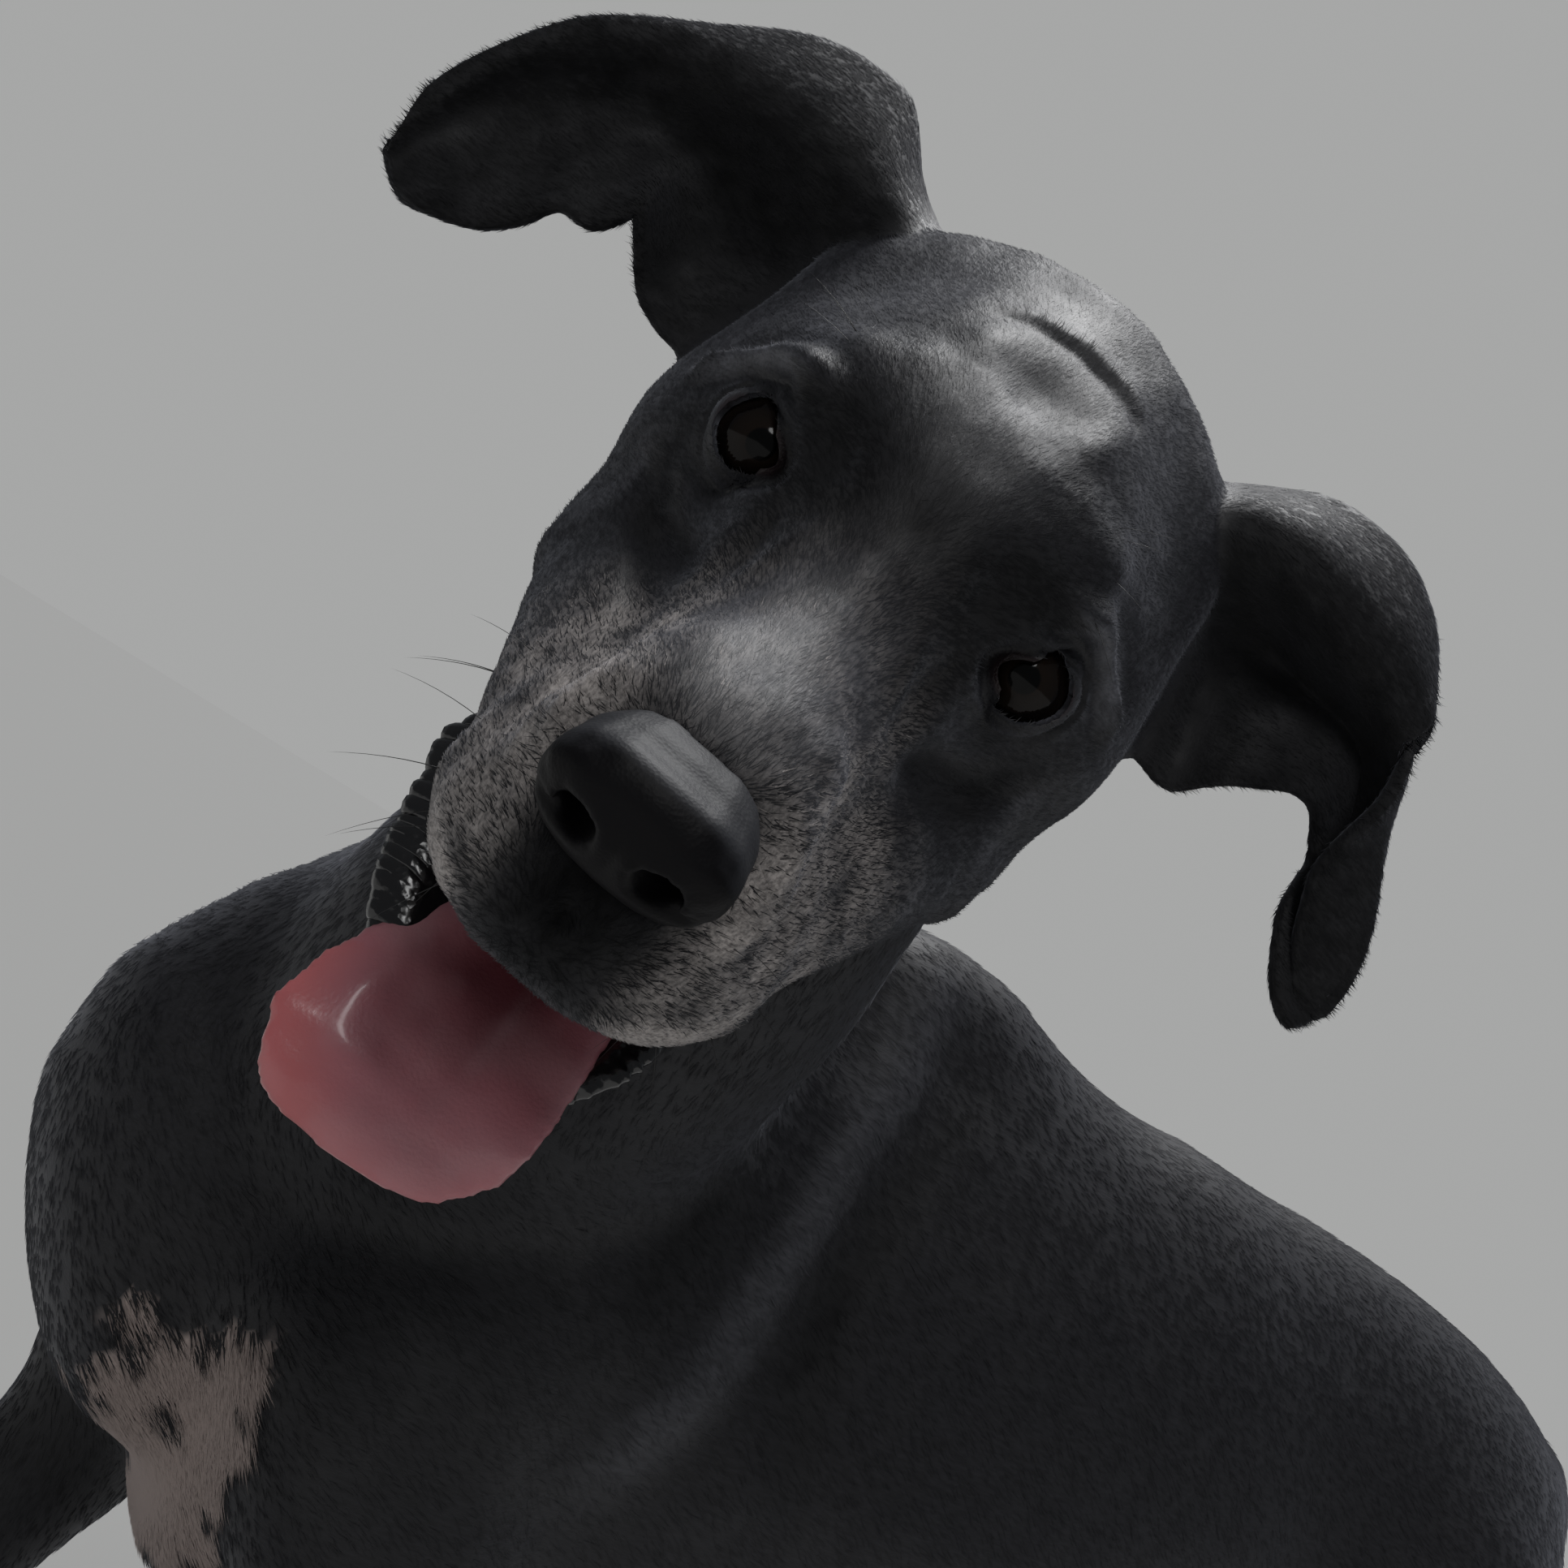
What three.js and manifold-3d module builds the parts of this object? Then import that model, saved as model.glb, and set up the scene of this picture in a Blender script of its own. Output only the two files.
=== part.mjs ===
// Great dane, life size, standing with its head turned to its left and its mouth open.
// Millimetres. +X runs forward along the trunk, +Y to the animal's left, +Z up.
import * as THREE from "three";
import { mergeVertices } from "three/addons/utils/BufferGeometryUtils.js";
import Module from "manifold-3d";

const wasm = await Module();
wasm.setup();

// Driving dimensions of the body
const WITHERS = 800;
const BACK = 790;
const LOIN = 802;
const TAIL_ROOT = 765;
const BRISKET = 402;
const BELLY = 530;
const PROW = 190;
const RUMP = -672;
const CHEST_HALF = 126;
const WAIST_HALF = 92;
const SHOULDER_HEIGHT = 530;
const HIP = RUMP + 128;
const ELBOW_HEIGHT = 438;
const WRIST_HEIGHT = 172;
const FORE_TRACK = 94;
const FORE_HALF = 24.5;
const STIFLE_HEIGHT = 480;
const HOCK_HEIGHT = 228;
const HIND_TRACK = 95;
const HIND_HALF = 22;
const TAIL_TIP = 270;
const PAW_HALF = 32;
const TOE_LENGTH = 26;
const CLAW_LENGTH = 17;

// Driving dimensions of the head, in its own frame: origin between the eyes, +X to the nose
const HEAD_AT = new THREE.Vector3(212, 319, 879);
const HEAD_TURN = THREE.MathUtils.degToRad(56);
const HEAD_NOD = THREE.MathUtils.degToRad(34);
const HEAD_TILT = THREE.MathUtils.degToRad(-8);
const SKULL_HALF = 78;
const MUZZLE_HALF = 42;
const NOSE_TIP = 146;
const NOSE_HALF = 22.5;
const OCCIPUT = -150;
const EYE_SPREAD = 41;
const EYE_RADIUS = 12.5;
const JAW_HINGE = new THREE.Vector3(-95, 0, -35);
const JAW_OPENING = THREE.MathUtils.degToRad(26);
const TONGUE_HALF = 35;
const TONGUE_THICK = 9;
const EAR_THICK = 4.5;
const EAR_ROWS = 20;
const EAR_COLUMNS = 9;

// Clearance between touching nodes, and the size of the block that regions are cut from
const GAP = 0.3;
const BLOCK = 6000;

// Roundings: the height of a swept body's last ring, and the fading of a leaf towards tip and edge
const DOME_START = 0.6;
const LEAF_ROOT = 1.5;
const LEAF_FADE = 0.75;
const EDGE_FADE = 0.5;

// The lids' ring: its half width, its depth and how much the upper and lower lids close it
const LID_HALF = 12.6;
const LID_DEPTH = 14;
const LID_TUBE = 0.21;
const LID_CLOSING = 0.3;

const SHAPE_KEYS = ["x", "y", "z", "side", "up", "down", "taper", "square"];
const PLAIN = { x: 0, y: 0, z: 0, side: 10, up: 10, down: 10, taper: 0, square: 2 };
const X_AXIS = new THREE.Vector3(1, 0, 0);
const Z_AXIS = new THREE.Vector3(0, 0, 1);

// Solids from geometry and back

function solidFrom(geometry) {
  const bare = geometry.index && !geometry.attributes.normal ? geometry : geometry.clone();
  bare.deleteAttribute("normal");
  bare.deleteAttribute("uv");
  const merged = mergeVertices(bare, 1e-4);
  const mesh = new wasm.Mesh({
    numProp: 3,
    vertProperties: new Float32Array(merged.attributes.position.array),
    triVerts: new Uint32Array(merged.index.array),
  });
  mesh.merge();
  return new wasm.Manifold(mesh);
}

function geometryFrom(solid) {
  const mesh = solid.getMesh();
  const geometry = new THREE.BufferGeometry();
  geometry.setAttribute("position", new THREE.BufferAttribute(mesh.vertProperties, 3));
  geometry.setIndex(new THREE.BufferAttribute(mesh.triVerts, 1));
  return geometry;
}

function largest(solid) {
  const bodies = solid.decompose();
  return bodies.reduce((best, body) => (body.volume() > best.volume() ? body : best));
}

function union(solids) {
  return solids.reduce((whole, next) => whole.add(next));
}

// A body swept through named sections, smooth between them

function between(a, b, c, d, t) {
  const bend = 2 * a - 5 * b + 4 * c - d + (3 * (b - c) + d - a) * t;
  return 0.5 * (2 * b + (c - a) * t + bend * t * t);
}

function sectionAt(sections, place) {
  const last = sections.length - 1;
  const index = Math.min(Math.floor(place), last - 1);
  const near = (offset) => sections[Math.max(0, Math.min(last, index + offset))];
  const result = {};
  for (const key of SHAPE_KEYS) {
    const values = [-1, 0, 1, 2].map((offset) => near(offset)[key] ?? PLAIN[key]);
    result[key] = between(...values, place - index);
  }
  return result;
}

function pressed(point, outward, marks) {
  for (const mark of marks) {
    const apart = Math.hypot(
      (point.x - mark.x) / (mark.long ?? 1),
      point.y - mark.y,
      point.z - mark.z,
    );
    point.addScaledVector(outward, mark.push * Math.exp(-((apart / mark.reach) ** 2)));
  }
  return point;
}

function sweep(sections, options) {
  const { sides, steps, front = 6, back = 6, dorsal = Z_AXIS } = options;
  const { marks = [], grow = 0, domeRings = 2 } = options;
  const count = Math.round((sections.length - 1) * steps);
  const rings = [];
  const centreAt = (place) => {
    const section = sectionAt(sections, place);
    return new THREE.Vector3(section.x, section.y, section.z);
  };
  const ringAt = (place, shrink, advance) => {
    const section = sectionAt(sections, place);
    const low = Math.max(0, place - 0.05);
    const high = Math.min(sections.length - 1, place + 0.05);
    const along = centreAt(high).sub(centreAt(low)).normalize();
    const up = dorsal.clone().addScaledVector(along, -dorsal.dot(along)).normalize();
    const left = up.clone().cross(along);
    const centre = new THREE.Vector3(section.x, section.y, section.z).addScaledVector(along, advance);
    const ring = [];
    for (let side = 0; side < sides; side += 1) {
      const angle = (side / sides) * 2 * Math.PI;
      const power = 2 / section.square;
      const wide = Math.sign(Math.cos(angle)) * Math.abs(Math.cos(angle)) ** power;
      const tall = Math.sign(Math.sin(angle)) * Math.abs(Math.sin(angle)) ** power;
      const narrowed = 1 - section.taper * Math.max(0, tall);
      const height = (tall > 0 ? section.up : section.down) + grow;
      const outward = left.clone().multiplyScalar(wide * (section.side + grow) * narrowed * shrink);
      outward.addScaledVector(up, tall * height * shrink);
      const point = centre.clone().add(outward);
      ring.push(pressed(point, outward.lengthSq() > 1e-9 ? outward.normalize() : up, marks));
    }
    return { ring, centre };
  };
  for (let dome = 0; dome < domeRings; dome += 1) {
    const angle = ((dome + DOME_START) / (domeRings + DOME_START)) * 0.5 * Math.PI;
    rings.push(ringAt(0, Math.sin(angle), -(back + grow) * Math.cos(angle)));
  }
  for (let step = 0; step <= count; step += 1) {
    rings.push(ringAt(step / steps, 1, 0));
  }
  for (let dome = domeRings - 1; dome >= 0; dome -= 1) {
    const angle = ((dome + DOME_START) / (domeRings + DOME_START)) * 0.5 * Math.PI;
    rings.push(ringAt(count / steps, Math.sin(angle), (front + grow) * Math.cos(angle)));
  }
  const startPole = ringAt(0, 0, -(back + grow)).centre;
  const endPole = ringAt(count / steps, 0, front + grow).centre;
  return closedTube(rings.map((entry) => entry.ring), startPole, endPole);
}

function closedTube(rings, startPole, endPole) {
  const sides = rings[0].length;
  const points = [...rings.flat(), startPole, endPole];
  const start = points.length - 2;
  const end = points.length - 1;
  const faces = [];
  for (let side = 0; side < sides; side += 1) {
    const next = (side + 1) % sides;
    faces.push(start, next, side);
    const top = (rings.length - 1) * sides;
    faces.push(end, top + side, top + next);
    for (let row = 0; row < rings.length - 1; row += 1) {
      const here = row * sides;
      const above = here + sides;
      faces.push(here + side, here + next, above + side);
      faces.push(here + next, above + next, above + side);
    }
  }
  const geometry = new THREE.BufferGeometry().setFromPoints(points);
  geometry.setIndex(faces);
  return geometry;
}

function swept(sections, options) {
  return solidFrom(sweep(sections, options));
}

function ball(x, y, z, radii, columns, rows, grow = 0) {
  const geometry = new THREE.SphereGeometry(1, columns, rows);
  geometry.rotateX(Math.PI / 2);
  geometry.scale(radii[0] + grow, radii[1] + grow, radii[2] + grow);
  geometry.translate(x, y, z);
  return solidFrom(geometry);
}

// Half spaces: each is a normal and a point on its face, and keeps what lies against the normal

function region(halves, margin) {
  let block = solidFrom(new THREE.BoxGeometry(BLOCK, BLOCK, BLOCK));
  for (const { normal, point } of halves) {
    const unit = normal.clone().normalize();
    const reach = unit.dot(point) + margin;
    block = block.trimByPlane([-unit.x, -unit.y, -unit.z], -reach);
  }
  return block;
}

function half(normal, point) {
  return { normal: new THREE.Vector3(...normal), point: new THREE.Vector3(...point) };
}

function part(body, halves) {
  const inside = body.intersect(region(halves, 0));
  const outside = body.subtract(region(halves, GAP));
  return [largest(inside), outside];
}

// Trunk, from the rump to the prow of the chest

function trunkSolid() {
  const section = (x, top, bottom, widest, side, taper = 0.1) => {
    return { x, z: widest, up: top - widest, down: widest - bottom, side, taper, square: 2.1 };
  };
  const sections = [
    section(RUMP + 20, TAIL_ROOT - 40, 600, 660, 52),
    section(RUMP + 75, TAIL_ROOT + 4, 572, 670, 84),
    section(RUMP + 152, LOIN - 12, 558, 680, 95, 0.2),
    section(RUMP + 242, LOIN - 4, BELLY, 670, WAIST_HALF, 0.2),
    section(RUMP + 326, LOIN, 492, 640, 106, 0.15),
    section(RUMP + 410, BACK + 4, 452, 610, 120, 0.2),
    section(-180, BACK + 3, 425, 590, CHEST_HALF, 0.28),
    section(-80, WITHERS - 2, 409, 585, 119, 0.38),
    section(0, WITHERS - 3, BRISKET, 580, 110, 0.42),
    section(70, 762, BRISKET + 3, 570, 104, 0.32),
    section(125, 690, 420, 555, 92, 0.2),
    section(PROW - 28, 612, 455, 532, 64),
  ];
  return swept(sections, { sides: 22, steps: 2, front: 20, back: 22 });
}

// Shoulder blade, and the foreleg from the upper arm to the pastern; reach sets the paw forward

function forelegSections(side, reach) {
  const elbow = -5 + reach * 0.45;
  const wrist = elbow + reach * 0.42;
  const swing = reach * 0.12;
  const at = (x, out, z, wide, front, behind) => {
    return { x, y: side * out, z, side: wide, up: front, down: behind, square: 2.2 };
  };
  return {
    blade: [
      at(-34, 20, WITHERS - 44, 18, 36, 50),
      at(-6, 52, 715, 26, 54, 88),
      at(34, 80, 630, 35, 66, 110),
      at(66 + swing, 85, 565, 40, 72, 112),
      at(90 + swing, 84, SHOULDER_HEIGHT, 38, 58, 96),
    ],
    leg: [
      at(72 + swing, 84, 566, 36, 58, 92),
      at(44 + reach * 0.25, 89, 515, 38, 58, 82),
      at(elbow + 6, 94, ELBOW_HEIGHT + 22, 34, 47, 58),
      at(elbow + 2, 97, ELBOW_HEIGHT - 24, 30, 40, 44),
      at(elbow * 0.75 + wrist * 0.25 + 3, 97, 350, 28, 34, 34),
      at(elbow * 0.4 + wrist * 0.6 + 2, 96, 270, 25, 29, 27),
      at(wrist, FORE_TRACK, 212, FORE_HALF, 27, 25),
      at(wrist + 1, FORE_TRACK, WRIST_HEIGHT, FORE_HALF + 5, 30, 29),
      at(wrist + 1, FORE_TRACK, 134, FORE_HALF, 24, 26),
      at(wrist + 10, FORE_TRACK, 86, FORE_HALF - 1, 23, 24),
      at(wrist + 24, FORE_TRACK, 38, FORE_HALF, 20, 24),
    ],
    paw: new THREE.Vector3(wrist + 24, side * FORE_TRACK, 0),
  };
}

// Hind leg from the rump to the pastern; reach sets the paw forward

function hindlegSections(side, reach) {
  const at = (x, out, z, wide, front, behind) => {
    return { x, y: side * out, z, side: wide, up: front, down: behind, square: 2.2 };
  };
  return {
    leg: [
      at(HIP, 34, 738, 32, 54, 62),
      at(HIP + 10 + reach * 0.1, 60, 680, 48, 88, 96),
      at(HIP + 20 + reach * 0.3, 74, 610, 55, 96, 102),
      at(HIP + 32 + reach * 0.5, 86, 545, 50, 88, 96),
      at(HIP + 40 + reach * 0.8, 95, STIFLE_HEIGHT, 41, 66, 70),
      at(HIP + 12 + reach, 97, 412, 32, 48, 50),
      at(HIP - 32 + reach, 97, 335, 26, 35, 38),
      at(HIP - 74 + reach, 95, 272, HIND_HALF, 26, 32),
      at(HIP - 100 + reach, HIND_TRACK, HOCK_HEIGHT, HIND_HALF + 3, 29, 31),
      at(HIP - 104 + reach, HIND_TRACK, 178, HIND_HALF, 24, 24),
      at(HIP - 100 + reach, HIND_TRACK, 112, HIND_HALF - 1, 22, 22),
      at(HIP - 78 + reach, HIND_TRACK, 40, HIND_HALF + 2, 20, 24),
    ],
    paw: new THREE.Vector3(HIP - 76 + reach, side * HIND_TRACK, 0),
  };
}

// Paw with four arched toes, flat where it meets the floor

function toePlaces(paw) {
  return [-1.5, -0.5, 0.5, 1.5].map((slot) => {
    const middle = 1 - Math.abs(slot) / 1.5;
    return {
      x: paw.x + 40 + 21 * middle,
      y: paw.y + slot * 18.5,
      z: 19 + 3.5 * middle,
    };
  });
}

function pawSolid(paw) {
  const at = (x, z, side, up, down) => ({ x: paw.x + x, y: paw.y, z, side, up, down, square: 2.4 });
  const sections = [
    at(-20, 28, 20, 20, 32),
    at(6, 34, 27, 28, 40),
    at(32, 29, PAW_HALF, 22, 36),
    at(48, 22, PAW_HALF - 3, 18, 28),
  ];
  const palm = swept(sections, { sides: 12, steps: 1, front: 8, back: 8, domeRings: 1 });
  const toes = toePlaces(paw).map((toe) => {
    return ball(toe.x, toe.y, toe.z, [TOE_LENGTH, 12, 22], 8, 5);
  });
  return union([palm, ...toes]);
}

function clawSolid(toe, lean) {
  const start = toe.x + TOE_LENGTH - 5;
  const drop = (x, z, size) => {
    return { x: start + x, y: toe.y + lean * x, z, side: size * 0.7, up: size, down: size };
  };
  const sections = [
    drop(-4, toe.z - 3, 5.2),
    drop(CLAW_LENGTH * 0.45, toe.z - 5, 4.4),
    drop(CLAW_LENGTH, toe.z - 12, 1.6),
  ];
  return swept(sections, { sides: 6, steps: 1, front: 1.5, back: 1, domeRings: 0 });
}

// Neck, bending from the shoulders up and to the left to meet the skull

const NECK = [
  { x: 46, y: -4, z: 612, side: 86, up: 100, down: 112 },
  { x: 70, y: 38, z: 692, side: 92, up: 96, down: 116 },
  { x: 86, y: 100, z: 772, side: 82, up: 84, down: 98 },
  { x: 120, y: 162, z: 856, side: 68, up: 70, down: 82 },
  { x: 158, y: 226, z: 924, side: 56, up: 56, down: 68 },
];
const CREST = new THREE.Vector3(-0.8, -0.5, 0.35).normalize();

function neckSolid(grow) {
  return swept(NECK, { sides: 20, steps: 2, front: 14, back: 20, dorsal: CREST, grow });
}

// Tail, hanging from the croup to the hocks

function tailSolid() {
  const at = (x, z, size) => ({ x, z, side: size, up: size, down: size });
  const sections = [
    at(RUMP + 50, TAIL_ROOT - 22, 30),
    at(RUMP + 2, TAIL_ROOT - 50, 26),
    at(RUMP - 36, TAIL_ROOT - 108, 21),
    at(RUMP - 52, 575, 17),
    at(RUMP - 56, 470, 13),
    at(RUMP - 62, 365, 9.5),
    at(RUMP - 84, TAIL_TIP, 5),
  ];
  const dorsal = new THREE.Vector3(-1, 0, 1).normalize();
  return swept(sections, { sides: 9, steps: 1.34, front: 5, back: 6, dorsal, domeRings: 1 });
}

// Head, in its own frame

function headFrame() {
  const turn = new THREE.Euler(HEAD_TILT, HEAD_NOD, HEAD_TURN, "ZYX");
  const matrix = new THREE.Matrix4().makeRotationFromEuler(turn);
  return matrix.setPosition(HEAD_AT);
}

const HEAD_FRAME = headFrame();
const HEAD_UPRIGHT = HEAD_FRAME.clone().multiply(new THREE.Matrix4().makeRotationY(-HEAD_NOD));

function placed(solid, frame) {
  const geometry = geometryFrom(solid);
  geometry.applyMatrix4(frame);
  return solidFrom(geometry);
}

function mirrored(mark) {
  return [mark, { ...mark, y: -mark.y }];
}

const HEAD_MARKS = [
  ...mirrored({ x: 0, y: 38, z: 26, reach: 15, push: 7 }),
  ...mirrored({ x: 16, y: 46, z: 1, reach: 16, push: -11 }),
  ...mirrored({ x: 28, y: 42, z: -22, reach: 14, push: -5 }),
  ...mirrored({ x: -26, y: 72, z: -14, reach: 20, push: 4, long: 1.5 }),
  ...mirrored({ x: -52, y: 50, z: 42, reach: 22, push: -4 }),
  ...mirrored({ x: -62, y: 72, z: -55, reach: 26, push: 5 }),
  ...mirrored({ x: -88, y: 62, z: 22, reach: 28, push: 10 }),
  ...mirrored({ x: 2, y: 56, z: -64, reach: 19, push: 13 }),
  ...mirrored({ x: 92, y: 40, z: -58, reach: 20, push: 3 }),
  { x: -30, y: 0, z: 56, reach: 12, push: -5, long: 3.2 },
  { x: -142, y: 0, z: 42, reach: 20, push: 7 },
  { x: 134, y: 0, z: -40, reach: 8, push: -3 },
];

function skullSections() {
  const at = (x, top, bottom, widest, side, taper, square = 2.3) => {
    return { x, z: widest, up: top - widest, down: widest - bottom, side, taper, square };
  };
  return [
    at(OCCIPUT + 6, 44, -14, 14, 34, 0.2),
    at(-124, 56, -58, -4, 58, 0.22),
    at(-94, 58, -90, -14, 70, 0.24),
    at(-60, 57, -106, -22, SKULL_HALF - 1, 0.28),
    at(-28, 55, -104, -26, SKULL_HALF - 3, 0.3),
    at(-8, 50, -94, -26, 69, 0.24),
    at(8, 38, -84, -32, 55, 0.22),
    at(24, 25, -77, -38, 48, 0.26),
    at(45, 18, -73, -44, 43.5, 0.4, 2.5),
    at(75, 15, -74, -47, MUZZLE_HALF, 0.44, 2.6),
    at(104, 13, -71, -46, MUZZLE_HALF - 1, 0.42, 2.6),
    at(122, 9, -64, -42, MUZZLE_HALF - 6, 0.38, 2.5),
    at(133, 0, -54, -38, 25, 0.3, 2.4),
  ];
}

// Upper lip of one side, drawn back to the fold at the corner of the mouth
function lipSolid(side, grow) {
  const at = (x, y, z, wide, up, down) => ({ x, y: side * y, z, side: wide, up, down });
  const sections = [
    at(-18, 58, -56, 15, 17, 15),
    at(-4, 60, -56, 15, 18, 16),
    at(22, 51, -52, 13.5, 19, 18),
    at(50, 44, -48, 13, 19, 20),
    at(78, 36, -45, 12.5, 18, 20),
    at(96, 30, -44, 12, 16, 18),
  ];
  return swept(sections, { sides: 12, steps: 1.5, front: 8, back: 9, grow });
}

function skullSolid(grow) {
  const bone = swept(skullSections(), { sides: 34, steps: 2, front: 6, back: 8, marks: HEAD_MARKS, grow });
  return union([bone, lipSolid(1, grow), lipSolid(-1, grow)]);
}

function mouthSolid(grow) {
  const at = (x, top, side) => ({ x, z: -60, side, up: top + 60, down: 62, square: 2.6 });
  const sections = [at(-16, -62, 20), at(6, -48, 31), at(55, -42, 31), at(98, -40, 28), at(117, -46, 18)];
  return swept(sections, { sides: 14, steps: 1.5, front: 4, back: 6, grow });
}

const NOSE_SECTIONS = [
  { x: 118, z: -5, side: NOSE_HALF - 3, up: 13, down: 18, square: 2.4 },
  { x: 130, z: -6, side: NOSE_HALF, up: 14, down: 20, square: 2.5 },
  { x: 139, z: -8, side: NOSE_HALF - 0.5, up: 13, down: 19, square: 2.5 },
  { x: NOSE_TIP - 2, z: -10, side: NOSE_HALF - 6, up: 9, down: 12, square: 2.3 },
];

function noseSolid(grow) {
  return swept(NOSE_SECTIONS, { sides: 16, steps: 1.34, front: 3, back: 2, grow, domeRings: 1 });
}

function nostrilSolid(side) {
  const at = (x, y, z, size) => ({ x, y: side * y, z, side: size, up: size, down: size * 1.2 });
  const hole = [at(NOSE_TIP + 6, 9, -9, 6), at(NOSE_TIP - 6, 11.5, -7, 5), at(NOSE_TIP - 16, 12, -6, 3)];
  const slit = [at(NOSE_TIP, 11, -11, 4), at(NOSE_TIP - 4, 17, -13, 3), at(NOSE_TIP - 8, 25, -13, 2)];
  return union([
    swept(hole, { sides: 9, steps: 1, front: 1, back: 1, domeRings: 1 }),
    swept(slit, { sides: 6, steps: 1, front: 1, back: 1, domeRings: 1 }),
  ]);
}

// Eyes and the lids round them

const GAZE = new THREE.Vector3(0.84, 0.36, 0.4).normalize();

function eyeCentre(side) {
  return new THREE.Vector3(4, side * EYE_SPREAD, 2);
}

function eyeSolid(side, grow) {
  const centre = eyeCentre(side);
  const radius = EYE_RADIUS + grow;
  return ball(centre.x, centre.y, centre.z, [radius, radius, radius], 14, 10);
}

function lidSolid(side) {
  const centre = eyeCentre(side);
  const gaze = new THREE.Vector3(GAZE.x, side * GAZE.y, GAZE.z);
  const outer = new THREE.Vector3(-0.3, side, -0.12);
  const across = outer.addScaledVector(gaze, -outer.dot(gaze)).normalize();
  const above = gaze.clone().cross(across).multiplyScalar(side).normalize();
  const geometry = new THREE.TorusGeometry(1, LID_TUBE, 5, 18);
  const places = geometry.attributes.position;
  for (let index = 0; index < places.count; index += 1) {
    const flat = new THREE.Vector3().fromBufferAttribute(places, index);
    const angle = Math.atan2(flat.y, flat.x);
    const pinch = 1 - LID_CLOSING * Math.abs(Math.sin(angle)) ** 0.8;
    const wide = flat.x * LID_HALF;
    const tall = flat.y * LID_HALF * pinch;
    const thick = flat.z * LID_DEPTH;
    const lift = Math.sqrt(Math.max(20, EYE_RADIUS ** 2 - wide ** 2 - tall ** 2)) + thick;
    const point = centre.clone().addScaledVector(gaze, lift);
    point.addScaledVector(across, wide).addScaledVector(above, tall);
    places.setXYZ(index, point.x, point.y, point.z);
  }
  const solid = solidFrom(geometry);
  if (solid.volume() > 0) return solid;
  geometry.setIndex([...geometry.index.array].reverse());
  return solidFrom(geometry);
}

// Lower jaw, modelled closed and swung open about its hinge

function jawFrame() {
  const shift = new THREE.Matrix4().makeTranslation(JAW_HINGE);
  const back = new THREE.Matrix4().makeTranslation(JAW_HINGE.clone().negate());
  return shift.multiply(new THREE.Matrix4().makeRotationY(JAW_OPENING)).multiply(back);
}

const JAW_FRAME = jawFrame();

function jawSolid(grow) {
  const at = (x, top, bottom, side) => {
    const middle = (top + bottom) / 2;
    return { x, z: middle, side, up: top - middle, down: middle - bottom, taper: 0.1, square: 2.4 };
  };
  const sections = [
    at(-62, -50, -104, 46),
    at(-25, -56, -106, 41),
    at(20, -57, -103, 37),
    at(62, -54, -98, 33),
    at(94, -54, -93, 28),
    at(110, -58, -88, 19),
  ];
  const floor = [
    { x: 0, z: -54, side: 22, up: 20, down: 14 },
    { x: 45, z: -52, side: 23, up: 20, down: 18 },
    { x: 84, z: -52, side: 20, up: 20, down: 17 },
    { x: 100, z: -52, side: 14, up: 20, down: 13 },
  ];
  const bone = swept(sections, { sides: 16, steps: 1.6, front: 6, back: 10, grow });
  const trough = swept(floor, { sides: 12, steps: 1.5, front: 3, back: 10, grow: -grow });
  return placed(bone.subtract(trough), JAW_FRAME);
}

// Tongue, out over the chin and hanging from it

function tongueSolid(grow) {
  const at = (x, y, z, side, thick) => ({ x, y, z, side, up: thick, down: thick, square: 2.2 });
  const thick = TONGUE_THICK / 2;
  const sections = [
    at(-14, 0, -92, 20, thick + 1.5),
    at(20, 0, -111, 24, thick + 2),
    at(50, 0, -125, 27, thick + 1.5),
    at(72, -3, -133, TONGUE_HALF - 2, thick + 1),
    at(89, -6, -141, TONGUE_HALF + 2, thick),
    at(100, -6, -149, TONGUE_HALF + 1, thick - 0.5),
    at(108, -5, -158, TONGUE_HALF - 8, thick - 1.2),
  ];
  const marks = [{ x: 66, y: 0, z: -121, reach: 9, push: -3.5, long: 6 }];
  return swept(sections, { sides: 16, steps: 1.5, front: 5, back: 4, marks, grow });
}

// Ears: leather leaves that curl into a cup at the root

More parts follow.
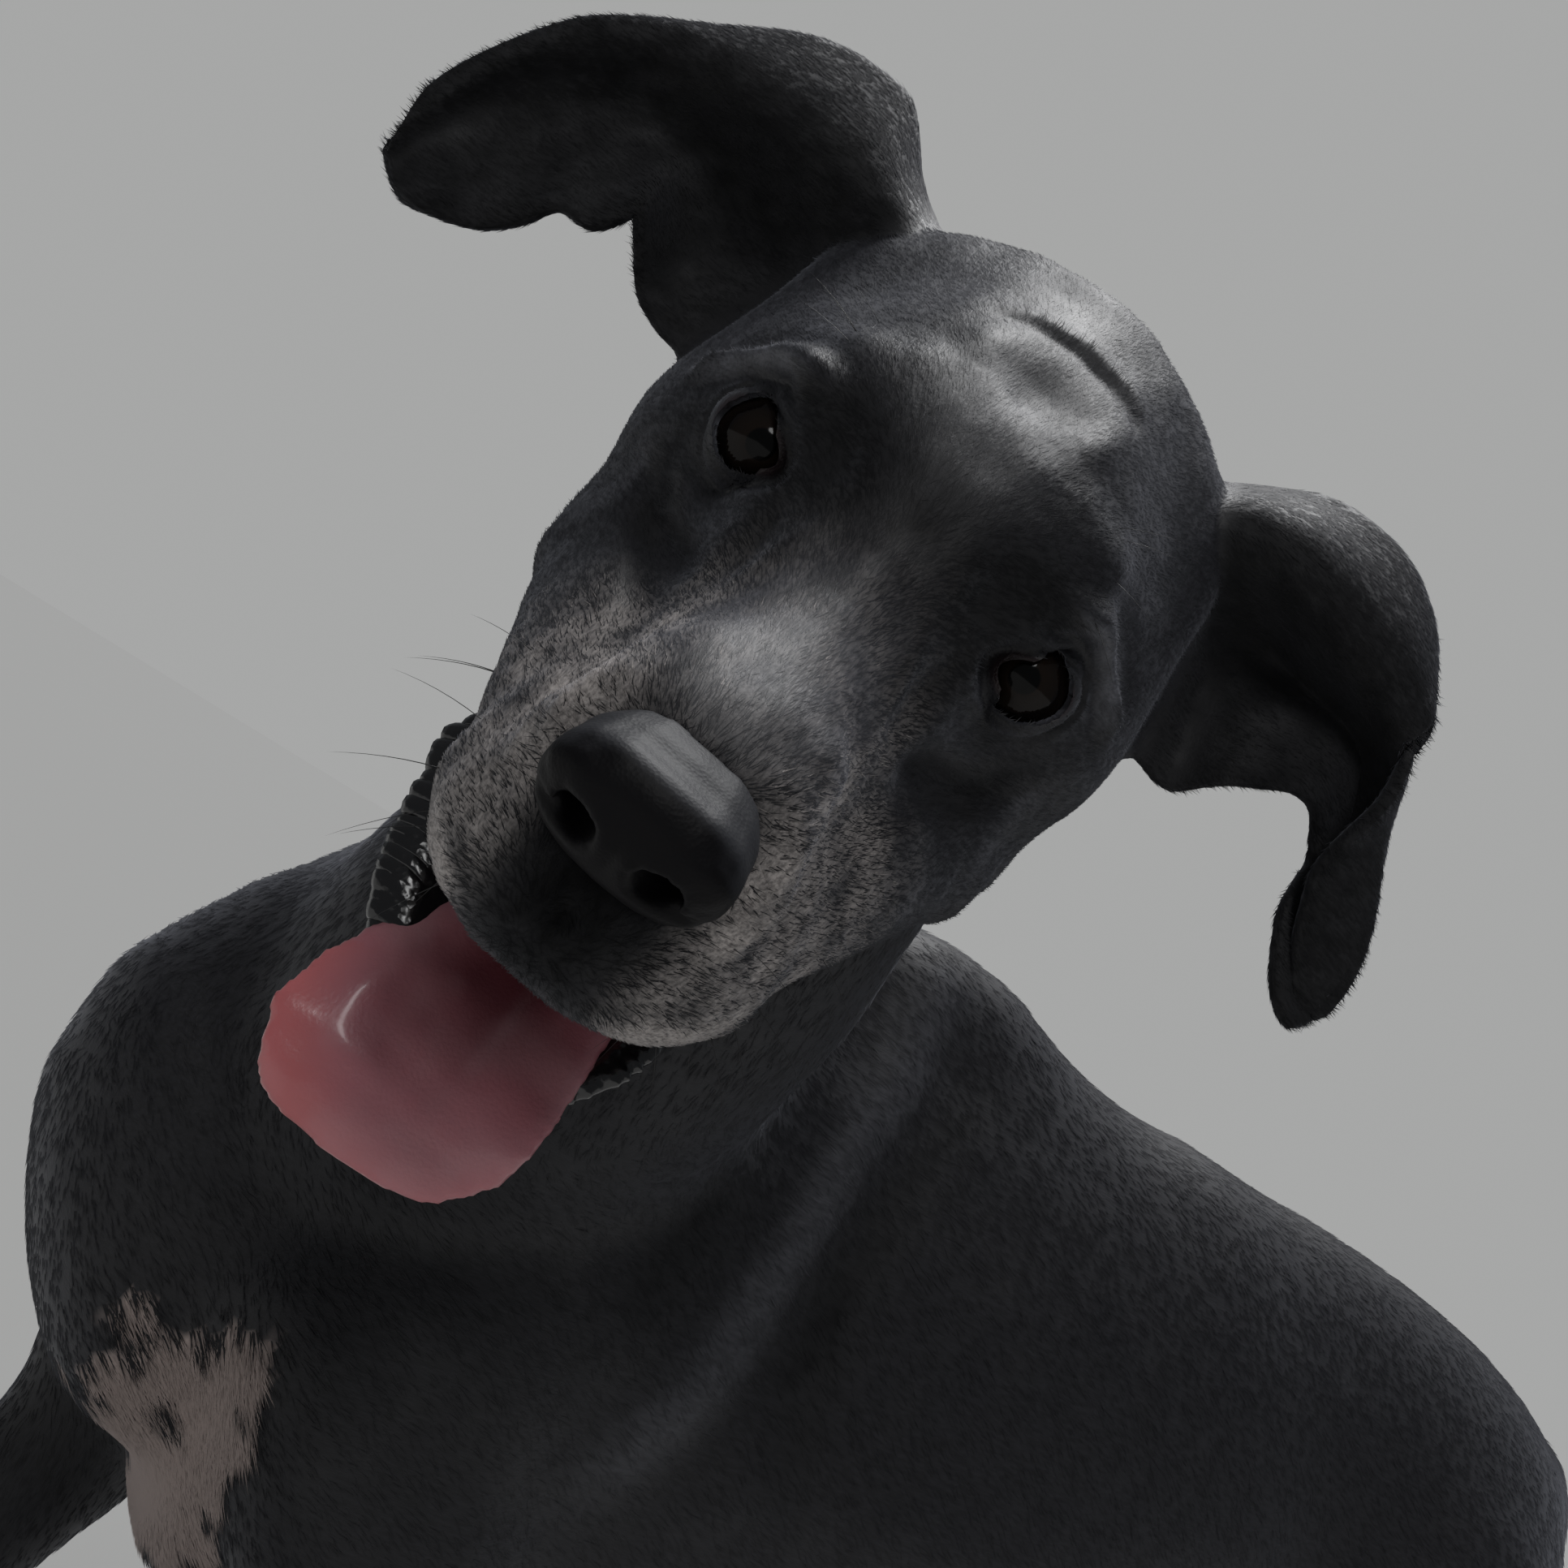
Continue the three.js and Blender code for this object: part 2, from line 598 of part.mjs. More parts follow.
function leafSolid(rows, columns, placeOf, thickOf) {
  const points = [];
  const nudge = 0.01;
  for (const face of [1, -1]) {
    for (let row = 0; row <= rows; row += 1) {
      for (let column = 0; column <= columns; column += 1) {
        const u = row / rows;
        const v = (column / columns) * 2 - 1;
        const point = placeOf(u, v);
        const low = Math.max(0, u - nudge);
        const high = Math.min(1, u + nudge);
        const alongU = placeOf(high, v).sub(placeOf(low, v));
        const alongV = placeOf(u, v + nudge).sub(placeOf(u, v - nudge));
        const normal = alongU.cross(alongV).normalize();
        points.push(point.addScaledVector(normal, (face * thickOf(u, v)) / 2));
      }
    }
  }
  const width = columns + 1;
  const layer = (rows + 1) * width;
  const faces = [];
  const quad = (a, b, c, d) => faces.push(a, b, c, b, d, c);
  for (let row = 0; row < rows; row += 1) {
    for (let column = 0; column < columns; column += 1) {
      const here = row * width + column;
      quad(here, here + width, here + 1, here + width + 1);
      faces.push(layer + here, layer + here + 1, layer + here + width);
      faces.push(layer + here + width, layer + here + 1, layer + here + width + 1);
    }
    const left = row * width;
    const right = left + columns;
    quad(left, left + layer, left + width, left + width + layer);
    quad(right + width, right + width + layer, right, right + layer);
  }
  for (let column = 0; column < columns; column += 1) {
    const end = rows * width + column;
    quad(column + 1, column + 1 + layer, column, column + layer);
    quad(end, end + layer, end + 1, end + 1 + layer);
  }
  const geometry = new THREE.BufferGeometry().setFromPoints(points);
  geometry.setIndex(faces);
  const solid = solidFrom(geometry);
  if (solid.volume() > 0) return solid;
  geometry.setIndex(faces.reverse());
  return solidFrom(geometry);
}

// Ear lines run from the root to the tip: along the front margin, the crest of the fold beside it,
// the hollow of the cup and the rear margin. Their places are upright ones: forward, outward and up
// from the point between the eyes
const EAR_LINES = {
  right: {
    front: [
      [-72, 43, 79], [-76, 64, 92], [-80, 86, 109], [-78, 112, 105], [-68, 137, 83], [-64, 150, 72],
      [-62, 162, 60], [-60, 173, 39], [-59, 179, 20], [-58, 177, 6], [-58, 176, 0],
    ],
    crest: [
      [-52, 47, 68], [-50, 64, 71], [-50, 82, 75], [-54, 107, 76], [-60, 134, 72], [-60, 147, 64],
      [-59, 158, 53], [-58, 168, 35], [-58, 174, 16], [-58, 175, 4], [-58, 175, -2],
    ],
    hollow: [
      [-66, 63, 38], [-76, 87, 46], [-78, 103, 54], [-76, 119, 57], [-72, 134, 51], [-70, 144, 44],
      [-68, 152, 35], [-65, 163, 22], [-62, 168, 9], [-61, 171, 0], [-59, 173, -3],
    ],
    rear: [
      [-62, 77, 9], [-66, 97, 12], [-60, 107, 23], [-56, 114, 30], [-54, 120, 19], [-56, 131, 17],
      [-56, 136, 7], [-56, 143, -1], [-56, 154, -6], [-57, 162, -8], [-58, 169, -7],
    ],
  },
  left: {
    front: [
      [-72, 51, 79], [-78, 63, 89], [-82, 80, 100], [-80, 100, 103], [-76, 118, 94], [-70, 130, 78],
      [-60, 138, 60], [-51, 140, 45], [-49, 138, 31], [-51, 137, 19], [-53, 141, 10], [-55, 146, 1],
      [-57, 153, -8], [-59, 160, -14],
    ],
    crest: [
      [-52, 54, 63], [-50, 61, 71], [-50, 79, 76], [-52, 100, 73], [-56, 116, 72], [-62, 131, 66],
      [-63, 139, 58], [-62, 144, 48], [-61, 148, 40], [-60, 153, 31], [-60, 159, 22], [-60, 164, 12],
      [-60, 167, 1], [-60, 167, -9],
    ],
    hollow: [
      [-66, 70, 39], [-76, 78, 46], [-78, 90, 57], [-78, 104, 58], [-76, 120, 57], [-77, 132, 52],
      [-76, 138, 43], [-75, 142, 36], [-74, 146, 29], [-72, 149, 22], [-70, 153, 14], [-67, 157, 4],
      [-65, 161, -6], [-63, 165, -13],
    ],
    rear: [
      [-62, 82, 8], [-64, 96, 7], [-60, 105, 18], [-58, 115, 26], [-60, 121, 30], [-64, 127, 30],
      [-68, 132, 26], [-67, 136, 20], [-64, 136, 14], [-61, 137, 5], [-59, 142, -4], [-58, 148, -12],
      [-58, 155, -17], [-59, 161, -18],
    ],
  },
};
const EAR_CORE = new THREE.Vector3(-72, 34, 24);
const ROOT_DEPTH = 0.45;

function listAt(list, u) {
  const place = u * (list.length - 1);
  const index = Math.min(Math.floor(place), list.length - 2);
  const near = (offset) => list[Math.max(0, Math.min(list.length - 1, index + offset))];
  return between(near(-1), near(0), near(1), near(2), place - index);
}

function vectorAt(list, u) {
  return new THREE.Vector3(...[0, 1, 2].map((axis) => listAt(list.map((entry) => entry[axis]), u)));
}

function earSolid(name, side) {
  const lines = Object.values(EAR_LINES[name]).map((line) => {
    const root = new THREE.Vector3(...line[0]).lerp(EAR_CORE, ROOT_DEPTH);
    return [root.toArray(), ...line];
  });
  const placeOf = (u, v) => {
    const across = lines.map((line) => vectorAt(line, u).toArray());
    const point = vectorAt(across, (v + 1) / 2);
    return point.setY(point.y * side);
  };
  const thickOf = (u, v) => EAR_THICK * (LEAF_ROOT - LEAF_FADE * u) * (1 - EDGE_FADE * v * v);
  return placed(leafSolid(EAR_ROWS, EAR_COLUMNS, placeOf, thickOf), HEAD_UPRIGHT);
}

// Build the body whole, then part it into its nodes

function sideName(side) {
  return side > 0 ? "left" : "right";
}

const FLESH = {};
const CLAWS = {};
const limbs = [];
for (const side of [1, -1]) {
  const fore = forelegSections(side, side > 0 ? 0 : 150);
  const hind = hindlegSections(side, side > 0 ? 0 : 36);
  const blade = swept(fore.blade, { sides: 14, steps: 1.5, front: 14, back: 14, dorsal: X_AXIS });
  const limb = { sides: 12, front: 8, dorsal: X_AXIS, domeRings: 1 };
  const foreleg = swept(fore.leg, { ...limb, steps: 1.3, back: 10 });
  const hindleg = swept(hind.leg, { ...limb, steps: 1.364, back: 20 });
  limbs.push(blade, foreleg, hindleg, pawSolid(fore.paw), pawSolid(hind.paw));
  for (const [pair, paw] of [["fore", fore.paw], ["hind", hind.paw]]) {
    toePlaces(paw).forEach((toe, index) => {
      const lean = (index - 1.5) * 0.06;
      CLAWS[`claw_${pair}_${sideName(side)}_${index + 1}`] = clawSolid(toe, lean);
    });
  }
}
const floor = region([half([0, 0, -1], [0, 0, 0])], 0);
let body = union([trunkSolid(), ...limbs, neckSolid(0)]).intersect(floor);

// What grows out of the body ends at its surface, one gap away from it
function outside(solid, away) {
  const rest = geometryFrom(largest(solid.subtract(body)));
  rest.translate(...away.clone().multiplyScalar(GAP).toArray());
  return solidFrom(rest);
}

for (const [name, solid] of Object.entries(CLAWS)) {
  FLESH[name] = outside(solid, X_AXIS);
}
FLESH.tail = outside(tailSolid(), new THREE.Vector3(-1, 0, 0.5));

const skull = placed(skullSolid(0), HEAD_FRAME);
const lids = union([lidSolid(1), lidSolid(-1)]);
const eyes = { left: eyeSolid(1, 0), right: eyeSolid(-1, 0) };
const sockets = union([eyeSolid(1, GAP), eyeSolid(-1, GAP)]);
const nose = largest(noseSolid(0).subtract(union([nostrilSolid(1), nostrilSolid(-1)])));

// Planes that part a limb: its upper face, the middle of the body, and a face across the belly
for (const side of [1, -1]) {
  const inner = half([0, -side, 0], [0, side * 6, 0]);
  const armpit = half([0, -side * 0.72, 0.69], [0, side * 44, 402]);
  const groin = half([0, -side * 0.6, 0.8], [0, side * 34, 548]);
  const foreCut = [armpit, inner, half([-1, 0, 0], [-150, 0, 0])];
  const hindCut = [groin, inner, half([1, 0, 0], [RUMP + 260, 0, 0])];
  [FLESH[`foreleg_${sideName(side)}`], body] = part(body, foreCut);
  [FLESH[`hindleg_${sideName(side)}`], body] = part(body, hindCut);
}

// The head joins the neck on a plane behind the ears and the angle of the jaw
const napePoint = new THREE.Vector3(-128, 0, 0).applyMatrix4(HEAD_FRAME);
const napeNormal = new THREE.Vector3(-0.93, 0, -0.36).transformDirection(HEAD_FRAME);
const headHalf = { normal: napeNormal, point: napePoint };
const neckHalf = half([-0.66, -0.42, -0.62], [58, 0, 794]);
[FLESH.neck, body] = part(body, [neckHalf]);
FLESH.torso = largest(body);

const napeSide = { normal: napeNormal.clone().negate(), point: napePoint };
const skullFront = skull.intersect(region([headHalf], 0));
const nape = skull.subtract(region([headHalf], 0));
FLESH.neck = largest(FLESH.neck.add(nape).intersect(region([napeSide], -GAP)));

const inHead = (solid) => placed(solid, HEAD_FRAME);
const carving = union([mouthSolid(0), sockets, noseSolid(GAP)]);
FLESH.head = largest(skullFront.add(inHead(lids)).subtract(inHead(carving)));
FLESH.nose = inHead(nose);
FLESH.eye_left = inHead(eyes.left);
FLESH.eye_right = inHead(eyes.right);

// The jaw, tongue and ears keep clear of the head, the neck and each other
const around = inHead(skullSolid(GAP).subtract(mouthSolid(-GAP))).add(neckSolid(GAP));
FLESH.lower_jaw = largest(inHead(jawSolid(0).subtract(tongueSolid(GAP))).subtract(around));
FLESH.tongue = largest(inHead(tongueSolid(0)).subtract(around));
FLESH.ear_left = largest(earSolid("left", 1).subtract(around));
FLESH.ear_right = largest(earSolid("right", -1).subtract(around));

// Meshes with their materials, set down with the middle of the footprint at the origin

const COAT = { color: 0x1c1c20, roughness: 0.55, metalness: 0 };
const LOOKS = {
  nose: { color: 0x1a191b, roughness: 0.4, metalness: 0 },
  eye: { color: 0x1d1512, roughness: 0.1, metalness: 0 },
  tongue: { color: 0xc47a84, roughness: 0.35, metalness: 0 },
  claw: { color: 0x2a2725, roughness: 0.45, metalness: 0 },
};

const dane = new THREE.Group();
for (const [name, solid] of Object.entries(FLESH)) {
  const look = LOOKS[name.split("_")[0]] ?? COAT;
  const mesh = new THREE.Mesh(geometryFrom(solid), new THREE.MeshStandardMaterial(look));
  mesh.name = name;
  dane.add(mesh);
}
const box = new THREE.Box3().setFromObject(dane);
const middle = box.getCenter(new THREE.Vector3());
dane.position.set(-middle.x, -middle.y, -box.min.z);

export default dane;
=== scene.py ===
"""Great dane, life size: one short-coated skin over the frame's flesh, with its eyes, nose,
tongue, lips, claws and hair, on a pale studio floor."""

import math

import bmesh
import bpy
import numpy as np
from mathutils import Euler, Matrix, Vector
from mathutils.bvhtree import BVHTree


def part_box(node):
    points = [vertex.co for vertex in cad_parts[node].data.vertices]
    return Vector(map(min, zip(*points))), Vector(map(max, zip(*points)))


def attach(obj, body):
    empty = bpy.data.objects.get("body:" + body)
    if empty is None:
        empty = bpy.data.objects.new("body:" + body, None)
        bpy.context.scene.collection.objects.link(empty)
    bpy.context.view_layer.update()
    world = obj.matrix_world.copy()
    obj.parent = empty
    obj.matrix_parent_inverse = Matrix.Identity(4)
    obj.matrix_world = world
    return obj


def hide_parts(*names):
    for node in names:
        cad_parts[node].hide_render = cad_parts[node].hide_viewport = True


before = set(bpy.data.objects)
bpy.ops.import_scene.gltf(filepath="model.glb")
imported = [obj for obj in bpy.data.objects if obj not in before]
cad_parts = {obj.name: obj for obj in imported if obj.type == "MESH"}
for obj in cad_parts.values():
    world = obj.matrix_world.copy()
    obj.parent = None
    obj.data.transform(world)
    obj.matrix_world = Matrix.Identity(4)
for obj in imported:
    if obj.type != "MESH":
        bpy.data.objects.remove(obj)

bl_info = {
    "name": "Great dane",
    "version": (1, 0, 0),
    "blender": (4, 5, 0),
    "location": "View3D > Sidebar > Dane",
    "description": "Skin, coat and fittings of a life-size standing great dane",
    "category": "Object",
}

MM = 0.001
FLESH = [
    "head", "neck", "torso", "tail", "lower_jaw",
    "foreleg_left", "foreleg_right", "hindleg_left", "hindleg_right",
]
EARS = ["ear_left", "ear_right"]
SIDES = {"left": 1.0, "right": -1.0}

# The head's own axes: forward to the nose, left, and up, with the origin between the eyes
HEAD_TURN = Euler((math.radians(-8), math.radians(34), math.radians(56)), "XYZ").to_matrix()
HEAD_AXES = np.array(HEAD_TURN)
EYE_SPOT = Vector((4, 41, 2))
EYE_RADIUS = 12.5
EYE_MIDDLE = (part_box("eye_left")[0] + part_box("eye_left")[1]
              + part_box("eye_right")[0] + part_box("eye_right")[1]) / 4
HEAD_ORIGIN = EYE_MIDDLE - HEAD_TURN @ Vector((EYE_SPOT.x, 0, EYE_SPOT.z)) * MM
# The body's own origin: on the floor under the withers, in the middle of the trunk
BODY_ORIGIN = EYE_MIDDLE - Vector((0.2145, 0.3227, 0.8784))
# The turn from a head held level to the nodding one
UPRIGHT = np.array(Euler((0, math.radians(-34), 0), "XYZ").to_matrix())

# Boxes on the head, each from one corner to the other: forward, to either side, and up
FACE_BOX = (-26, -1, -78), (150, 84, 60)
CROWN_BOX = (-56, -1, 30), (-20, 34, 999)
MOUTH_BOX = (-40, -1, -120), (116, 32, -46)
LIP_HAIR_BOX = (62, 14, -68), (122, 999, -20)
BROW_HAIR_BOX = (-18, 32, 24), (12, 60, 42)
# Heights above the floor, in metres: the top of the paws' finer faces, and the steps from the
# paws' hair to the legs' hair and from that to the trunk's
PAW_HEIGHT = 0.05
PAW_HAIR_STEP = 0.05, 0.12
LEG_HAIR_STEP = 0.3, 0.45


# Arrays of points, and places on the head and body

def rows_of(mesh, key):
    flat = np.empty(len(mesh.vertices) * 3, np.float32)
    mesh.vertices.foreach_get(key, flat)
    return flat.reshape(-1, 3).astype(float)


def points_of(mesh):
    return rows_of(mesh, "co")


def normals_of(mesh):
    return rows_of(mesh, "normal")


def set_points(mesh, points):
    mesh.vertices.foreach_set("co", points.astype(np.float32).ravel())
    mesh.update()


def push_points(mesh, push):
    """Moves each point out along its normal, by millimetres."""
    set_points(mesh, points_of(mesh) + normals_of(mesh) * push[:, None] * MM)


def edge_pairs(mesh):
    flat = np.empty(len(mesh.edges) * 2, np.int64)
    mesh.edges.foreach_get("vertices", flat)
    return flat.reshape(-1, 2)


def store(mesh, name, values):
    layer = mesh.attributes.new(name, "FLOAT", "POINT")
    layer.data.foreach_set("value", np.asarray(values, np.float32))


def relaxed(values, pairs, rounds, weight=1.0):
    """Values per point, each drawn half-way to its neighbours' mean in every round."""
    values = values.astype(float)
    columns = values.reshape(len(values), -1)
    near = np.bincount(pairs.ravel(), minlength=len(values)).clip(1)
    pull = 0.5 * weight
    for _ in range(rounds):
        for index in range(columns.shape[1]):
            line = columns[:, index]
            total = np.bincount(pairs[:, 0], weights=line[pairs[:, 1]], minlength=len(line))
            total += np.bincount(pairs[:, 1], weights=line[pairs[:, 0]], minlength=len(line))
            columns[:, index] = line + (total / near - line) * pull
    return values


def unit(rows):
    return rows / np.linalg.norm(rows, axis=-1, keepdims=True).clip(1e-9)


def in_head(points):
    return (points - np.array(HEAD_ORIGIN)) @ HEAD_AXES / MM


def from_head(points):
    return points * MM @ HEAD_AXES.T + np.array(HEAD_ORIGIN)


def head_spot(forward, left, up):
    return HEAD_ORIGIN + HEAD_TURN @ Vector((forward, left, up)) * MM


def in_body(points):
    return (points - np.array(BODY_ORIGIN)) / MM


def in_box(head, low, high):
    """Which points lie in a box, taken alike on both sides of the head."""
    place = np.stack([head[:, 0], np.abs(head[:, 1]), head[:, 2]], axis=1)
    return ((place > low) & (place < high)).all(axis=1)


def eye_centre(name):
    return np.array((EYE_SPOT.x, SIDES[name] * EYE_SPOT.y, EYE_SPOT.z))


def eye_distance(head):
    """How far each point lies from the middle of the nearer eyeball."""
    return np.min([np.linalg.norm(head - eye_centre(name), axis=1) for name in SIDES], axis=0)


# Soft steps, lines, curves and noise

def smooth_step(low, high, values):
    place = np.clip((values - low) / (high - low), 0, 1)
    return place * place * (3 - 2 * place)


def distance_to_line(points, line):
    """Distance from each point to a run of straight pieces, and how far along the nearest lies."""
    line = np.array(line, float)
    best = np.full(len(points), 1e9)
    along = np.zeros(len(points))
    for index in range(len(line) - 1):
        start, step = line[index], line[index + 1] - line[index]
        share = np.clip((points - start) @ step / max(step @ step, 1e-9), 0, 1)
        apart = np.linalg.norm(points - start - share[:, None] * step, axis=1)
        closer = apart < best
        best = np.where(closer, apart, best)
        along = np.where(closer, (index + share) / (len(line) - 1), along)
    return best, along


def stroke_push(points, strokes):
    """How far each point moves outward: the sum of soft ridges and grooves along lines."""
    total = np.zeros(len(points))
    for line, reach, push in strokes:
        apart, along = distance_to_line(points, line)
        fade = np.sin(np.pi * np.clip(along * 0.84 + 0.08, 0, 1)) ** 0.5 if len(line) > 1 else 1
        total += push * np.exp(-((apart / reach) ** 2)) * fade
    return total


def both_sides(strokes):
    return strokes + [
        ([(x, -y, z) for x, y, z in line], reach, push) for line, reach, push in strokes
    ]


def between(a, b, c, d, t):
    """Smooth run from b to c."""
    bend = 2 * a - 5 * b + 4 * c - d + (3 * (b - c) + d - a) * t
    return 0.5 * (2 * b + (c - a) * t + bend * t * t)


def curve_at(values, places):
    """Smooth run through evenly spaced values."""
    values = np.array(values, float)
    last = len(values) - 1
    places = np.clip(places, 0, 1) * last
    index = np.minimum(places.astype(int), last - 1)
    t = (places - index)[:, None] if values.ndim > 1 else places - index
    near = [values[np.clip(index + step, 0, last)] for step in (-1, 0, 1, 2)]
    return between(*near, t)


def soft_noise(points, size, seed):
    """A smooth random value for each point, between about -1 and 1."""
    draw = np.random.default_rng(seed)
    total = np.zeros(len(points))
    for _ in range(9):
        way = unit(draw.normal(size=3)) * 2 * np.pi / (size * draw.uniform(0.7, 1.5))
        total += np.sin(points @ way + draw.uniform(0, 2 * np.pi))
    return total / 3.5


# Meshes and objects

def mesh_from(work, name):
    """The mesh of a bmesh, which is then freed."""
    mesh = bpy.data.meshes.new(name)
    work.to_mesh(mesh)
    work.free()
    return mesh


def new_object(name, mesh, smooth=True):
    piece = bpy.data.objects.new(name, mesh)
    bpy.context.scene.collection.objects.link(piece)
    if smooth:
        mesh.shade_smooth()
    return piece


def finished_copy(piece):
    """The mesh of a piece with its modifiers applied."""
    evaluated = piece.evaluated_get(bpy.context.evaluated_depsgraph_get())
    return bpy.data.meshes.new_from_object(evaluated)


def discard(piece):
    mesh = piece.data
    bpy.data.objects.remove(piece)
    bpy.data.meshes.remove(mesh)


def fused_with(mesh, other, way="UNION"):
    """The mesh with another one joined to it, or cut out of it."""
    piece = new_object("whole", mesh)
    tool = new_object("tool", other)
    join = piece.modifiers.new("Join", "BOOLEAN")
    join.operation = way
    join.solver = "MANIFOLD"
    join.object = tool
    result = finished_copy(piece)
    discard(piece)
    discard(tool)
    return result


def put_on_head(work):
    """Moves a piece made in the head's own millimetres to its place."""
    for vert in work.verts:
        vert.co = head_spot(*vert.co)


def flat_grid(columns, rows):
    """A flat grid, and how far its points lie along and across it, from 0 to 1."""
    work = bmesh.new()
    bmesh.ops.create_grid(work, x_segments=columns, y_segments=rows, size=1)
    place = (np.array([vert.co for vert in work.verts]) + 1) / 2
    return work, place[:, 0], place[:, 1]


def walled_mesh(work, where, thickness, name):
    """Lays the points of a grid in place, and gives it a wall."""
    for vert, spot in zip(work.verts, where):
        vert.co = spot
    bmesh.ops.recalc_face_normals(work, faces=work.faces)
    bmesh.ops.solidify(work, geom=work.faces, thickness=thickness)
    bmesh.ops.recalc_face_normals(work, faces=work.faces)
    return mesh_from(work, name)


def sausage(work, line, widths, heights, rings):
    """Adds a closed rounded body along a line, with its breadth and height at even steps of it."""
    made = bmesh.ops.create_uvsphere(work, u_segments=14, v_segments=rings, radius=1)["verts"]
    ball = np.array([vert.co for vert in made])
    share = np.arccos(np.clip(-ball[:, 2], -1, 1)) / math.pi
    ring = np.hypot(ball[:, 0], ball[:, 1]).clip(1e-6)
    centre = curve_at(line, share)
    ahead = unit(curve_at(line, np.minimum(share + 0.01, 1)) - curve_at(line, np.maximum(share - 0.01, 0)))
    side = unit(np.cross(np.array((0.0, 0.0, 1.0)), ahead))
    top = np.cross(ahead, side)
    round_end = np.minimum(1, np.sqrt(1 - (2 * share - 1) ** 8 + 1e-6))
    wide = curve_at(widths, share) * round_end * ball[:, 0] / ring
    tall = curve_at(heights, share) * round_end * ball[:, 1] / ring
    pole = ring < 1e-4
    wide[pole], tall[pole] = 0, 0
    where = centre + side * wide[:, None] + top * tall[:, None]
    for vert, spot in zip(made, where):
        vert.co = spot


def unwrapped(piece):
    """Gives a piece its OFBake map."""
    bpy.context.view_layer.objects.active = piece
    piece.select_set(True)
    bpy.ops.object.mode_set(mode="EDIT")
    bpy.ops.mesh.select_all(action="SELECT")
    bpy.ops.uv.smart_project(angle_limit=math.radians(70), island_margin=0.002)
    bpy.ops.object.mode_set(mode="OBJECT")
    piece.select_set(False)
    piece.data.uv_layers[0].name = "OFBake"


# Skin: the flesh nodes fused, with finer faces towards the head

def merged_nodes(names, swell):
    """One mesh of several nodes, each swollen a little so that they overlap."""
    fused = bmesh.new()
    for name in names:
        single = bmesh.new()
        single.from_mesh(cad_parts[name].data)
        bmesh.ops.remove_doubles(single, verts=single.verts, dist=1e-5)
        single.normal_update()
        for vert in single.verts:
            vert.co += vert.normal * swell
        part = mesh_from(single, "part")
        fused.from_mesh(part)
        bpy.data.meshes.remove(part)
    return mesh_from(fused, "flesh")


class Lens:
    """Magnifies the space round the head, so that an even grid gives the head finer faces."""

    def __init__(self, centre, radius, power, far):
        self.centre = np.array(centre)
        distance = np.linspace(0, 3, 3001)
        slope = far + (power - far) * np.exp(-(np.maximum(distance - radius, 0) / 0.12) ** 2)
        spread = np.concatenate([[0], np.cumsum((slope[1:] + slope[:-1]) / 2 * np.diff(distance))])
        self.distance, self.spread = distance, spread

    def turned(self, points, known, wanted):
        away = points - self.centre
        reach = np.linalg.norm(away, axis=1).clip(1e-9)
        return self.centre + away * (np.interp(reach, known, wanted) / reach)[:, None]

    def widened(self, points):
        return self.turned(points, self.distance, self.spread)

    def restored(self, points):
        return self.turned(points, self.spread, self.distance)


def voxel_skin(mesh, size, lens=None):
    """A closed skin of even faces round a mesh, laid in the lens's space where there is one."""
    if lens:
        set_points(mesh, lens.widened(points_of(mesh)))
    piece = new_object("fusing", mesh)
    remesh = piece.modifiers.new("Fuse", "REMESH")
    remesh.mode = "VOXEL"
    remesh.voxel_size = size
    result = finished_copy(piece)
    discard(piece)
    if lens:
        set_points(result, lens.restored(points_of(result)))
    return result


def facets_softened(mesh, rounds, keep_rounds):
    """Rounds off the facets, then gives back the breadth that the rounding took."""
    before = points_of(mesh)
    pairs = edge_pairs(mesh)
    soft = relaxed(before, pairs, rounds)
    set_points(mesh, soft)
    normals = normals_of(mesh)
    lost = np.einsum("ij,ij->i", before - soft, normals)
    lost = relaxed(lost, pairs, keep_rounds)
    set_points(mesh, soft + normals * lost[:, None])


def finer_where(mesh, wanted):
    """Splits the faces whose points are all wanted."""
    work = bmesh.new()
    work.from_mesh(mesh)
    work.verts.ensure_lookup_table()
    faces = [face for face in work.faces if all(wanted[vert.index] for vert in face.verts)]
    edges = list({edge for face in faces for edge in face.edges})
    bmesh.ops.subdivide_edges(work, edges=edges, cuts=1, use_grid_fill=True, smooth=0.0)
    crowded = [face for face in work.faces if len(face.verts) > 4]
    bmesh.ops.triangulate(work, faces=crowded)
    work.to_mesh(mesh)
    work.free()
    mesh.update()


# Ears: leaves of leather laid through four lines that run from the root to the tip, with places
# forward, outward and up from the point between the eyes, on a head held level

